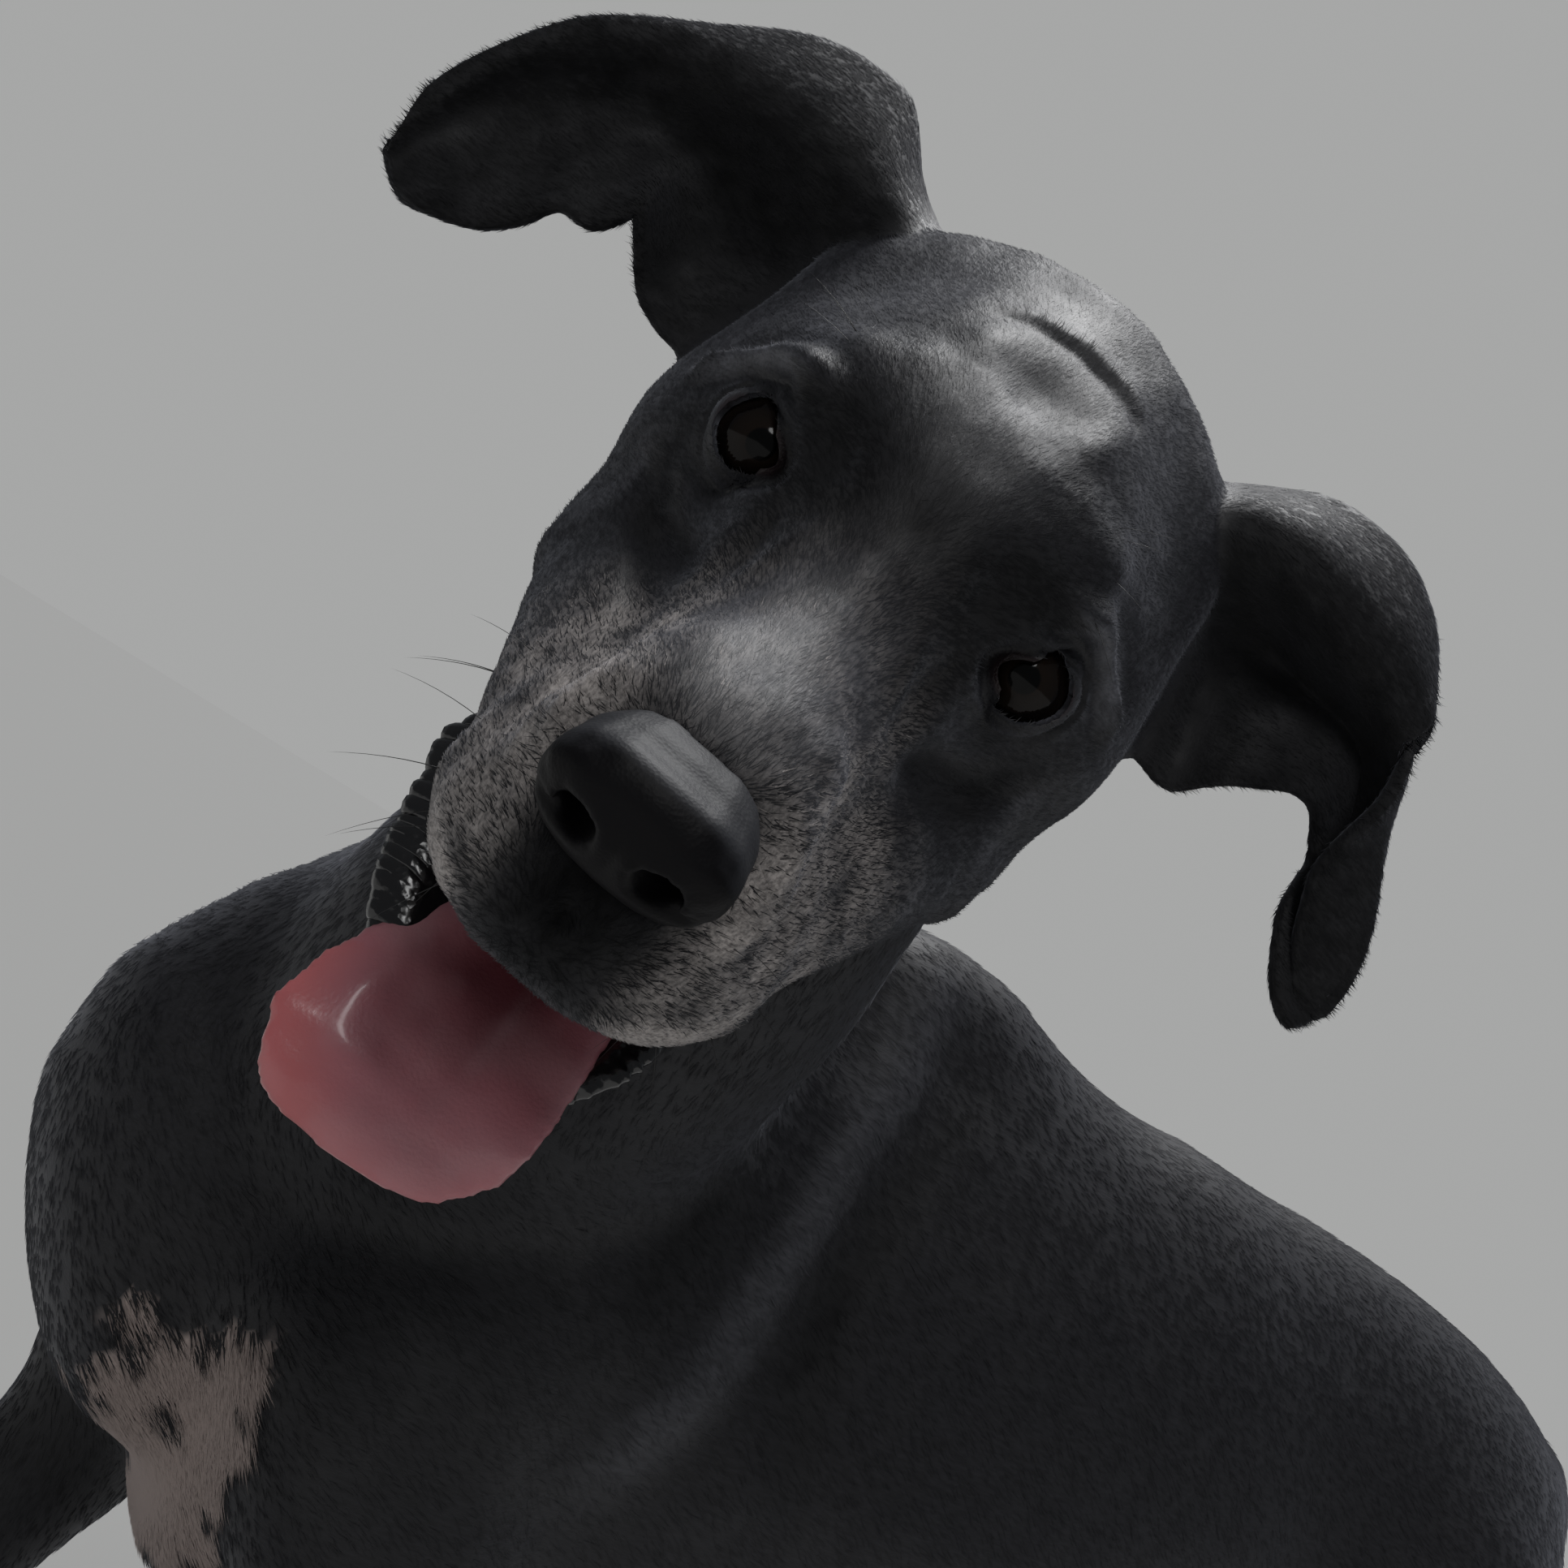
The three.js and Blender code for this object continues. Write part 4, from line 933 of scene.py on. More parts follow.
def strands(roots, width, lift, segments, droop=0.0):
    """One closed, tapering strand of three sides for each root."""
    count = len(roots["root"])
    long, way, normal = roots["length"][:, None], roots["way"], roots["normal"]
    side = unit(np.cross(normal, way))
    rows = []
    for step in range(segments):
        share = step / segments
        centre = roots["root"] + way * long * share + normal * (lift * long * share)
        centre[:, 2] -= droop * roots["length"] * share ** 2
        thin = width * (1 - share) ** 0.7
        rows += [centre - side * thin / 2, centre + side * thin / 2, centre + normal * thin * 0.45]
    tip = roots["root"] + way * long + normal * (lift * long)
    tip[:, 2] -= droop * roots["length"]
    points = np.stack(rows + [tip], axis=1)
    points[:, :2] -= normal[:, None] * width * 0.2
    faces = [(0, 2, 1)]
    for step in range(segments - 1):
        here, above = step * 3, step * 3 + 3
        for first, second in ((0, 1), (1, 2), (2, 0)):
            faces.append((here + first, here + second, above + second))
            faces.append((here + first, above + second, above + first))
    last = (segments - 1) * 3
    faces += [(last, last + 1, last + 3), (last + 1, last + 2, last + 3), (last + 2, last, last + 3)]
    size = segments * 3 + 1
    corners = (np.array(faces)[None] + np.arange(count)[:, None, None] * size).reshape(-1, 3)
    mesh = bpy.data.meshes.new("strands")
    mesh.vertices.add(count * size)
    mesh.loops.add(len(corners) * 3)
    mesh.polygons.add(len(corners))
    mesh.vertices.foreach_set("co", points.reshape(-1).astype(np.float32))
    mesh.loops.foreach_set("vertex_index", corners.reshape(-1).astype(np.int32))
    mesh.polygons.foreach_set("loop_start", np.arange(len(corners), dtype=np.int32) * 3)
    mesh.update(calc_edges=True)
    return mesh


def finish_strands(mesh, roots):
    """Gives each tuft its root's markings, painted light and shade, and place on the unwrap, and shades it
    with the skin.
    """
    count = len(roots["root"])
    size = len(mesh.vertices) // count
    for name in COAT_MASKS:
        values = roots[name]
        if name in ("grey", "patch"):
            values = (values > 0.15 + 0.7 * roots["chance"]) * np.maximum(values, 0.6)
        store(mesh, name, np.repeat(values, size))
    layer = mesh.uv_layers.new(name="OFBake")
    corner = np.tile(np.array([(-1, -1), (1, -1), (0, 0), (0, 1)]) * 0.0015, (count, 1))
    spots = (np.repeat(roots["uv"], size, axis=0) + corner).clip(0, 1)
    index = np.empty(len(mesh.loops), np.int32)
    mesh.loops.foreach_get("vertex_index", index)
    layer.uv.foreach_set("vector", spots[index].astype(np.float32).ravel())
    side = unit(np.cross(roots["normal"], roots["way"]))
    lean = np.array([-0.3, 0.3, 0, 0])
    normals = unit(roots["normal"][:, None] + side[:, None] * lean[None, :, None]).reshape(-1, 3)
    mesh.normals_split_custom_set_from_vertices(normals)


# Materials

def socket(group, name, way, kind, default=None):
    made = group.interface.new_socket(name=name, in_out=way, socket_type=kind)
    if default is not None:
        made.default_value = default


def node(tree, kind, **settings):
    made = tree.nodes.new(kind)
    for key, value in settings.items():
        setattr(made, key, value)
    return made


def set_inputs(made, values):
    for key, value in values.items():
        made.inputs[key].default_value = value


def texture(tree, kind, position, **values):
    """A texture node that reads a position, with the values of its inputs."""
    made = node(tree, kind)
    set_inputs(made, values)
    tree.links.new(position, made.inputs["Vector"])
    return made


def blended(tree, factor, first, second):
    """A value between two others."""
    blend = node(tree, "ShaderNodeMix", data_type="FLOAT")
    for source, key in ((factor, "Factor"), (first, "A"), (second, "B")):
        tree.links.new(source, blend.inputs[key])
    return blend.outputs["Result"]


def object_position(tree):
    return node(tree, "ShaderNodeTexCoord").outputs["Object"]


def grain_group():
    """Fine streaks of short hair along the lie, with broader patches of gloss."""
    group = bpy.data.node_groups.new("Hair grain", "ShaderNodeTree")
    socket(group, "Position", "INPUT", "NodeSocketVector")
    socket(group, "Trunk", "INPUT", "NodeSocketFloat", 1.0)
    socket(group, "Head", "INPUT", "NodeSocketFloat", 0.0)
    socket(group, "Streaks", "OUTPUT", "NodeSocketFloat")
    socket(group, "Patches", "OUTPUT", "NodeSocketFloat")
    inside = group.nodes.new("NodeGroupInput")
    outside = group.nodes.new("NodeGroupOutput")
    link = group.links.new
    level = (0, 0, 0)
    with_head = HEAD_TURN.inverted().to_euler("XYZ")
    streaks = []
    for rotation, scale in [
        (level, (150, 620, 620)), (level, (620, 620, 150)), (with_head, (320, 1200, 1200)),
    ]:
        turned = node(group, "ShaderNodeMapping")
        turned.inputs["Rotation"].default_value = rotation
        drawn_out = node(group, "ShaderNodeMapping")
        drawn_out.inputs["Scale"].default_value = scale
        link(inside.outputs["Position"], turned.inputs["Vector"])
        link(turned.outputs["Vector"], drawn_out.inputs["Vector"])
        noise = texture(group, "ShaderNodeTexNoise", drawn_out.outputs["Vector"],
                        Scale=1.0, Detail=2.0, Roughness=0.6)
        streaks.append(noise.outputs["Fac"])
    on_trunk, on_legs, on_head = streaks
    on_body = blended(group, inside.outputs["Trunk"], on_legs, on_trunk)
    link(blended(group, inside.outputs["Head"], on_body, on_head), outside.inputs["Streaks"])
    patches = texture(group, "ShaderNodeTexNoise", inside.outputs["Position"], Scale=42.0, Detail=4.0)
    link(patches.outputs["Fac"], outside.inputs["Patches"])
    return group


def plain_material(name, colour, roughness, coat=0.0):
    made = bpy.data.materials.new(name)
    made.use_nodes = True
    shader = made.node_tree.nodes["Principled BSDF"]
    set_inputs(shader, {
        "Base Color": (*colour, 1), "Roughness": roughness, "Coat Weight": coat, "Coat Roughness": 0.12,
    })
    return made, made.node_tree, shader


def mixed(tree, factor, first, second):
    """A colour between two, each a colour or an output."""
    mix = node(tree, "ShaderNodeMix", data_type="RGBA")
    tree.links.new(factor, mix.inputs["Factor"])
    for socket_name, value in (("A", first), ("B", second)):
        spot = [entry for entry in mix.inputs if entry.name == socket_name and entry.type == "RGBA"][0]
        if isinstance(value, bpy.types.NodeSocket):
            tree.links.new(value, spot)
        else:
            spot.default_value = (*value, 1)
    return [entry for entry in mix.outputs if entry.type == "RGBA"][0]


def read_mask(tree, name):
    return node(tree, "ShaderNodeAttribute", attribute_name=name).outputs["Fac"]


def spread(tree, value, low, high, out_low=0.0, out_high=1.0):
    """A value rescaled from one range to another."""
    rescale = node(tree, "ShaderNodeMapRange", clamp=True)
    tree.links.new(value, rescale.inputs["Value"])
    set_inputs(rescale, {"From Min": low, "From Max": high, "To Min": out_low, "To Max": out_high})
    return rescale.outputs["Result"]


def product(tree, first, second):
    maths = node(tree, "ShaderNodeMath", operation="MULTIPLY")
    tree.links.new(first, maths.inputs[0])
    tree.links.new(second, maths.inputs[1])
    return maths.outputs["Value"]


def bumped(tree, shader, height, strength, distance):
    bump = node(tree, "ShaderNodeBump")
    set_inputs(bump, {"Strength": strength, "Distance": distance})
    tree.links.new(height, bump.inputs["Height"])
    tree.links.new(bump.outputs["Normal"], shader.inputs["Normal"])


def darker(colour, share):
    return tuple(value * share for value in colour)


def coat_material(name, looks, bump):
    """Short black hair with painted highlight and painted shade, the grey muzzle with a weak painted sheen on
    its bridge, the white patch, and the bare skin of mouth and lids."""
    made, tree, shader = plain_material(name, looks.coat, 0.46)
    position = object_position(tree)
    grain = bpy.data.node_groups.get("Hair grain") or grain_group()
    hair = node(tree, "ShaderNodeGroup", node_tree=grain)
    tree.links.new(position, hair.inputs["Position"])
    tree.links.new(read_mask(tree, "trunk"), hair.inputs["Trunk"])
    tree.links.new(read_mask(tree, "face"), hair.inputs["Head"])
    streaks, patches = hair.outputs["Streaks"], hair.outputs["Patches"]
    hairs = mixed(tree, spread(tree, streaks, 0.35, 0.7), darker(looks.coat, 0.5), looks.coat)
    # Painted shade darkens the hair where the mask is below 0.5; painted highlight lightens it to the sheen
    # colour above 0.5
    painted_light = read_mask(tree, "painted_light")
    painted_shade = mixed(tree, spread(tree, painted_light, 0, 0.5), darker(looks.coat, 0.2), hairs)
    light = product(tree, spread(tree, painted_light, 0.5, 1), spread(tree, streaks, 0.3, 0.65, 0.6, 1))
    black = mixed(tree, light, painted_shade, looks.painted_sheen)
    thin = product(tree, read_mask(tree, "grey"), spread(tree, streaks, 0.32, 0.62, 0.45, 1.25))
    muzzle = mixed(tree, thin, black, looks.muzzle)
    white = mixed(tree, read_mask(tree, "patch"), muzzle, looks.patch)
    bare = mixed(tree, read_mask(tree, "wet"), white, looks.gum)
    tree.links.new(bare, shader.inputs["Base Color"])
    matt = product(tree, spread(tree, patches, 0.3, 0.7, 0.48, 0.6), spread(tree, painted_light, 0, 0.5, 1.6, 1))
    gloss = product(tree, matt, spread(tree, read_mask(tree, "wet"), 0, 1, 1, 0.5))
    tree.links.new(gloss, shader.inputs["Roughness"])
    set_inputs(shader, {
        "Specular IOR Level": 0.42, "Sheen Weight": 0.2, "Sheen Roughness": 0.45,
        "Sheen Tint": (0.72, 0.75, 0.86, 1),
    })
    if bump:
        bumped(tree, shader, streaks, bump, 0.0006)
    return made


def eye_material(looks):
    """Wet eyeball: colours by the degrees from its axis, for pupil, iris, its dark rim, and white."""
    made, tree, shader = plain_material("Eye", looks.iris, 0.3, 0.7)
    set_inputs(shader, {"Coat Roughness": 0.1, "Coat IOR": 1.36, "Specular IOR Level": 0.0})
    ramp = node(tree, "ShaderNodeValToRGB")
    marks = [
        (0.0, (0.002, 0.002, 0.002)), (0.17, (0.002, 0.002, 0.002)), (0.2, looks.iris),
        (0.44, darker(looks.iris, 0.7)), (0.5, (0.004, 0.003, 0.003)), (0.62, (0.008, 0.006, 0.005)),
        (0.8, (0.03, 0.02, 0.018)),
    ]
    stops = ramp.color_ramp.elements
    stops[0].position, stops[1].position = marks[0][0], marks[-1][0]
    for place, _ in marks[1:-1]:
        stops.new(place)
    for stop, (_, colour) in zip(stops, marks):
        stop.color = (*colour, 1)
    tree.links.new(spread(tree, read_mask(tree, "off_axis"), 0, 90), ramp.inputs["Fac"])
    tree.links.new(ramp.outputs["Color"], shader.inputs["Base Color"])
    return made


def tongue_material(looks):
    """Wet tongue: redder at its edge, with painted shade towards its root in the mouth, darkest along its
    middle, and pale blotches.
    """
    made, tree, shader = plain_material("Tongue", looks.tongue, 0.34, 0.5)
    position = object_position(tree)
    fine = texture(tree, "ShaderNodeTexNoise", position, Scale=900.0, Detail=3.0)
    broad = texture(tree, "ShaderNodeTexNoise", position, Scale=45.0)
    tip = mixed(tree, read_mask(tree, "tip"), looks.tongue, (0.66, 0.18, 0.19))
    # Painted shade of the tongue's root inside the mouth
    painted_shade = mixed(tree, read_mask(tree, "painted_shade"), tip, (0.16, 0.035, 0.045))
    pale = mixed(tree, spread(tree, broad.outputs["Fac"], 0.45, 0.75, 0, 0.35), painted_shade, (0.75, 0.42, 0.45))
    tree.links.new(pale, shader.inputs["Base Color"])
    set_inputs(shader, {"Subsurface Weight": 0.15, "Subsurface Radius": (0.004, 0.0015, 0.001)})
    bumped(tree, shader, fine.outputs["Fac"], 0.35, 0.0004)
    return made


def pebbled_material(name, colour, roughness, scale, depth, coat):
    """Bare skin or horn with a fine grain of raised cells."""
    made, tree, shader = plain_material(name, colour, roughness, coat)
    cells = texture(tree, "ShaderNodeTexVoronoi", object_position(tree), Scale=scale)
    bumped(tree, shader, cells.outputs["Distance"], 0.4, depth)
    return made


def nose_material(looks):
    """Leather of the nose, with a painted sheen on its top behind the pad."""
    made = pebbled_material("Nose leather", looks.leather, 0.5, 1100.0, 0.00015, 0.0)
    tree, shader = made.node_tree, made.node_tree.nodes["Principled BSDF"]
    # Painted sheen on the upward-facing top of the nose
    top = mixed(tree, read_mask(tree, "painted_sheen"), looks.leather, (0.03, 0.031, 0.036))
    tree.links.new(top, shader.inputs["Base Color"])
    shader.inputs["Specular IOR Level"].default_value = 0.15
    return made


# Settings

def length_value(name, about, value):
    return bpy.props.FloatProperty(
        name=name, description=about, default=value, min=0, unit="LENGTH", precision=4)


def number_value(name, about, value, low=0, subtype="NONE"):
    return bpy.props.FloatProperty(
        name=name, description=about, default=value, min=low, subtype=subtype)


def colour_value(name, about, value):
    return bpy.props.FloatVectorProperty(
        name=name, description=about, default=value, size=3, min=0, max=1, subtype="COLOR")


def way_value(name, about, value):
    return bpy.props.FloatVectorProperty(
        name=name, description=about, default=value, size=3, subtype="DIRECTION")


class SkinSettings(bpy.types.PropertyGroup):
    grid: length_value("Grid", "Size of the skin's faces on the body", 0.0105)
    depth: length_value("Coat depth", "How far the skin lies inside the frame's solids", 0.0012)
    ear: length_value("Ear thickness", "Thickness of the ear leather", 0.0042)
    power: number_value("Head power", "How much finer the faces are on the head", 2.65, low=1)


class CoatSettings(bpy.types.PropertyGroup):
    body: length_value("Body hair", "Length of the hair on the trunk", 0.0075)
    face: length_value("Face hair", "Length of the hair on the face", 0.004)
    patch: length_value("Patch hair", "Length of the white hair on the chest", 0.011)
    lift: number_value("Lift", "How far the tips stand off, as a share of the length", 0.1)


class LookSettings(bpy.types.PropertyGroup):
    coat: colour_value("Coat", "Black hair", (0.017, 0.0165, 0.02))
    # Colour of the painted sheen on the bridge, brows, neck ridge and the nose's top
    painted_sheen: colour_value("Painted sheen", "Lighter hair of the bridge and brows", (0.13, 0.132, 0.15))
    muzzle: colour_value("Muzzle", "Grey hair of lips and chin", (0.56, 0.51, 0.485))
    lip: colour_value("Lip", "Wet lower lips", (0.008, 0.007, 0.008))
    patch: colour_value("Patch", "White hair of the chest", (0.52, 0.42, 0.385))
    gum: colour_value("Gum", "Bare dark skin of the mouth and lids", (0.016, 0.008, 0.009))
    leather: colour_value("Nose leather", "Bare nose", (0.005, 0.0045, 0.0055))
    iris: colour_value("Iris", "Dark brown iris", (0.012, 0.008, 0.006))
    tongue: colour_value("Tongue", "Middle of the tongue", (0.66, 0.24, 0.28))
    claw: colour_value("Claw", "Horn of the claws", (0.02, 0.017, 0.015))


class StageSettings(bpy.types.PropertyGroup):
    floor: colour_value("Floor", "Pale floor", (0.34, 0.34, 0.335))
    backdrop: colour_value("Backdrop", "Plain backdrop", (0.385, 0.388, 0.385))
    key: number_value("Key light", "Strength of the main light", 2.6)
    key_way: way_value("Key way", "Way to the main light", (-0.2, -0.42, 0.9))
    fill: number_value("Fill light", "Strength of the second light", 0.75)
    fill_way: way_value("Fill way", "Way to the second light", (0.34, 0.61, 0.71))
    softness: number_value("Softness", "Breadth of the main light", math.radians(30), subtype="ANGLE")
    sky: number_value("Sky", "Strength of the even light from all round", 0.11)
    focal: number_value("Focal length", "Lens in mm, for a sensor 36 mm wide", 2650 / 1932 * 36, low=1)


# The pieces

class DANE_OT_skin(bpy.types.Operator):
    """One skin in place of the flesh and ears"""

    bl_idname = "dane.skin"
    bl_label = "Skin"

    def execute(self, context):
        names = FLESH + EARS
        mesh = skin_shape(context.scene.dane_skin)
        skin_marks(mesh)
        mesh.set_sharp_from_angle(angle=math.radians(62))
        skin = new_object("skin", mesh)
        unwrapped(skin)
        mesh.materials.clear()
        mesh.materials.append(coat_material("Coat", context.scene.dane_looks, 0.3))
        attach(skin, "root")
        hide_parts(*names)
        return {"FINISHED"}


class DANE_OT_coat(bpy.types.Operator):
    """Short hair lying on the skin, in pieces for each region"""

    bl_idname = "dane.coat"
    bl_label = "Coat"

    def execute(self, context):
        sizes = context.scene.dane_coat
        share = 1
        look = coat_material("Hair", context.scene.dane_looks, 0)
        surface = Surface(bpy.data.objects["skin"].data)
        marks = {name: surface.mask(name) for name in ("face", "ear", "patch", "grey", "wet")}
        ear, patch = marks["ear"], marks["patch"]
        head, height = in_head(surface.points), surface.points[:, 2]
        off_nose = smooth_step(10, 16, np.linalg.norm((head - (136, 0, -9)) * (1, 0.7, 0.8), axis=1))
        off_eyes = smooth_step(15, 26, eye_distance(head))
        low = 1 - smooth_step(*PAW_HAIR_STEP, height)
        leg = 1 - smooth_step(*LEG_HAIR_STEP, height)
        body = (1 - marks["face"]) * (1 - patch)
        size = sizes.body * (1 - 0.35 * leg) * (1 - 0.4 * low)
        face = marks["face"] * (1 - ear) * (1 - marks["wet"]).clip(0, 1) ** 4 * off_nose
        face_size = sizes.face * (0.55 + 0.45 * off_eyes) * (1 - 0.25 * marks["grey"])
        for name, count, weight, long, wide in [
            ("body_1", 48000, body, size, 0.0006),
            ("body_2", 48000, body, size * 0.85, 0.0005),
            ("body_3", 48000, body, size * 0.7, 0.0005),
            ("face_1", 48000, face, face_size, 0.00028),
            ("face_2", 48000, face, face_size * 0.8, 0.00024),
            ("ears", 44000, ear, sizes.face * 0.8, 0.0003),
            ("chest_patch", 9000, patch * (1 - marks["face"]), sizes.patch, 0.0007),
        ]:
            roots = surface.sampled(int(count * share), weight, long, name)
            piece = new_object(f"hair_{name}", strands(roots, wide, sizes.lift, 1))
            piece.data.materials.append(look)
            finish_strands(piece.data, roots)
            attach(piece, "root")
        return {"FINISHED"}


class DANE_OT_whiskers(bpy.types.Operator):
    """Stiff long hairs on the lips and brows"""

    bl_idname = "dane.whiskers"
    bl_label = "Whiskers"

    def execute(self, context):
        surface = Surface(bpy.data.objects["skin"].data)
        head = in_head(surface.points)
        groups = []
        for box, count, long, seed in [(LIP_HAIR_BOX, 44, 0.022, "lips"), (BROW_HAIR_BOX, 8, 0.016, "brows")]:
            roots = surface.sampled(count, in_box(head, *box).astype(float), long, seed)
            side = np.sign(in_head(roots["root"])[:, 1])
            sweep = np.stack([np.full(count, -0.25), side * 0.3, np.full(count, -0.5)], axis=1)
            roots["way"] = unit(roots["normal"] + 0.9 * sweep @ HEAD_AXES.T)
            groups.append(roots)
        roots = {key: np.concatenate([group[key] for group in groups]) for key in groups[0]}
        whiskers = new_object("whiskers", strands(roots, 0.00024, 0.0, 6, droop=0.16))
        look = plain_material("Whisker", (0.02, 0.019, 0.02), 0.4)[0]
        whiskers.data.materials.append(look)
        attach(whiskers, "root")
        return {"FINISHED"}


# Lower lips: the line where each one leaves the jaw, and the line of its loose edge

LIP_ROOT = [
    (-4, 33, -100), (14, 32, -108), (34, 29, -118), (48, 26, -125), (60, 22, -132), (68, 16, -137),
    (73, 10, -141),
]
LIP_EDGES = {
    "right": [
        (0, 42, -102), (20, 58, -113), (35, 55, -120), (47, 51, -127), (57, 47, -131), (68, 39, -138),
        (77, 24, -146),
    ],
    "left": [
        (0, 38, -102), (18, 41, -110), (34, 40, -117), (48, 39, -123), (60, 37, -127), (70, 31, -135),
        (77, 22, -144),
    ],
}
LIP_THICKNESS = 0.0034


class DANE_OT_lips(bpy.types.Operator):
    """Wet lower lips, flared out and scalloped along their edge"""

    bl_idname = "dane.lips"
    bl_label = "Lower lips"

    def execute(self, context):
        look = pebbled_material("Wet lip", context.scene.dane_looks.lip, 0.16, 520.0, 0.0006, 1.0)
        for name, edge in LIP_EDGES.items():
            work, u, v = flat_grid(120, 14)
            outer, inner = curve_at(edge, u), curve_at(LIP_ROOT, u)
            wave = np.sin(u * 74 + np.sin(u * 31) * 1.6) * 0.6 + np.sin(u * 131 + 2) * 0.4
            reach = v * (1 + 0.05 * wave * v)
            where = inner + (outer - inner) * reach[:, None]
            where[:, 2] += 3.2 * np.sin(np.pi * v ** 1.3) + 0.7 * wave * v ** 2
            mesh = walled_mesh(work, from_head(where * (1, SIDES[name], 1)), LIP_THICKNESS, f"lip_{name}")
            set_points(mesh, relaxed(points_of(mesh), edge_pairs(mesh), 3))
            lip = new_object(f"lower_lip_{name}", mesh)
            mesh.materials.append(look)
            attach(lip, "root")
        return {"FINISHED"}


class DANE_OT_eyes(bpy.types.Operator):
    """Both eyeballs, with the cornea's bulge"""

    bl_idname = "dane.eyes"
    bl_label = "Eyes"

    def execute(self, context):
        look = eye_material(context.scene.dane_looks)
        pole = Vector((0, 0, 1))
        for name in SIDES:
            work = bmesh.new()
            bmesh.ops.create_uvsphere(work, u_segments=48, v_segments=40, radius=EYE_RADIUS * MM)
            turn = pole.rotation_difference(HEAD_TURN @ Vector(EYE_WAYS[name])).to_matrix()
            angles = []
            for vert in work.verts:
                angle = math.degrees(vert.co.angle(pole))
                angles.append(angle)
                vert.co *= 1 + 0.075 * math.exp(-((angle / 27) ** 4))
                vert.co = turn @ vert.co + head_spot(*eye_centre(name))
            mesh = mesh_from(work, f"eye_{name}_ball")
            store(mesh, "off_axis", angles)
            ball = new_object(f"eyeball_{name}", mesh)
            mesh.materials.append(look)
            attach(ball, "root")
            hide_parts(f"eye_{name}")
        return {"FINISHED"}


NOSE_STROKES = [
    ([(150, 0, -4), (147, 0, -18), (140, 0, -30)], 2.0, -1.6),
    ([(138, -16, 3), (141, -8, 6), (142, 0, 7), (141, 8, 6), (138, 16, 3)], 6.5, 4.0),
] + both_sides([
    ([(146, 8, -2), (143, 15, 0), (139, 21, -4), (138, 22, -12)], 3.5, 1.4),
    ([(116, 26, -12), (117, 18, 0), (118, 0, 7)], 6.0, -1.6),
])


class DANE_OT_nose(bpy.types.Operator):
    """Leather of the nose, with its nostrils"""

    bl_idname = "dane.nose"
    bl_label = "Nose"

    def execute(self, context):
        mesh = voxel_skin(merged_nodes(["nose"], swell=0), 0.001)
        facets_softened(mesh, rounds=8, keep_rounds=14)
        push_points(mesh, stroke_push(in_head(points_of(mesh)), NOSE_STROKES))
        front = unit(normals_of(mesh)) @ HEAD_AXES[:, 0]
        height = in_head(points_of(mesh))[:, 2]
        # Painted sheen: on faces of the nose that look up rather than forward
        store(mesh, "painted_sheen", (1 - smooth_step(0.1, 0.5, front)) * smooth_step(-6, 4, height))
        nose = new_object("nose_leather", mesh)
        mesh.materials.append(nose_material(context.scene.dane_looks))
        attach(nose, "root")
        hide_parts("nose")
        return {"FINISHED"}


TONGUE_STROKES = [
    ([(30, 0, -110), (60, 0, -122), (84, 2, -132), (98, 3, -142)], 4.0, -1.2),
] + both_sides([
    ([(70, 24, -128), (90, 28, -138), (102, 22, -150)], 5.0, 0.9),
])


class DANE_OT_tongue(bpy.types.Operator):
    """Tongue over the chin, grooved along its middle"""

    bl_idname = "dane.tongue"
    bl_label = "Tongue"

    def execute(self, context):
        mesh = voxel_skin(merged_nodes(["tongue"], swell=0), 0.0017)
        facets_softened(mesh, rounds=8, keep_rounds=14)
        head = in_head(points_of(mesh))
        push_points(mesh, stroke_push(head, TONGUE_STROKES) + soft_noise(head, 16, 7) * 0.35)
        x, y, z = head.T
        edge = np.hypot(x - 78, y * 0.9)
        store(mesh, "tip", smooth_step(26, 40, edge) * (x > 78))
        # Painted shade: darker towards the root inside the mouth, most along the middle
        middle = 1 - smooth_step(8, 27, np.abs(y + 2 + soft_noise(head, 30, 8) * 3))
        store(mesh, "painted_shade", (1 - smooth_step(60, 98, x)) * (0.25 + 0.75 * middle))
        tongue = new_object("tongue_leaf", mesh)
        mesh.materials.append(tongue_material(context.scene.dane_looks))
        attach(tongue, "root")
        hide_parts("tongue")
        return {"FINISHED"}


# Claws: half breadths and half heights from root to tip, in metres

CLAW_WIDTHS = [0.0036, 0.0036, 0.003, 0.0021, 0.0005]
CLAW_HEIGHTS = [0.0048, 0.0048, 0.004, 0.0026, 0.0006]


class DANE_OT_claws(bpy.types.Operator):
    """Sixteen claws, curved down to the floor"""

    bl_idname = "dane.claws"
    bl_label = "Claws"

    def execute(self, context):
        horn = pebbled_material("Claw horn", context.scene.dane_looks.claw, 0.3, 700.0, 0.0002, 0.2)
        names = [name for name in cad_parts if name.startswith("claw_")]
        for name in names:
            low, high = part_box(name)
            middle = (low + high) / 2
            start = Vector((low.x - 0.002, middle.y, high.z - 0.0055))
            tip = Vector((high.x - 0.0005, middle.y, low.z + 0.001))
            bend = (start + tip) / 2 + Vector((0.0015, 0, 0.002))
            line = [start, (start + bend) / 2 + Vector((0, 0, 0.0006)), bend, (bend + tip) / 2, tip]
            work = bmesh.new()
            sausage(work, line, CLAW_WIDTHS, CLAW_HEIGHTS, rings=18)
            bmesh.ops.recalc_face_normals(work, faces=work.faces)
            mesh = mesh_from(work, name)
            claw = new_object(name.replace("claw_", "horn_"), mesh)
            mesh.materials.append(horn)
            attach(claw, "root")
            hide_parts(name)
        return {"FINISHED"}


# The stage: floor, even light, two soft suns, and the camera rolled as it was held

CAMERA_AWAY = Vector((0.2485, 0.4488, -0.0584))
CAMERA_TURN = math.radians(60)
CAMERA_ROLL = math.radians(35)


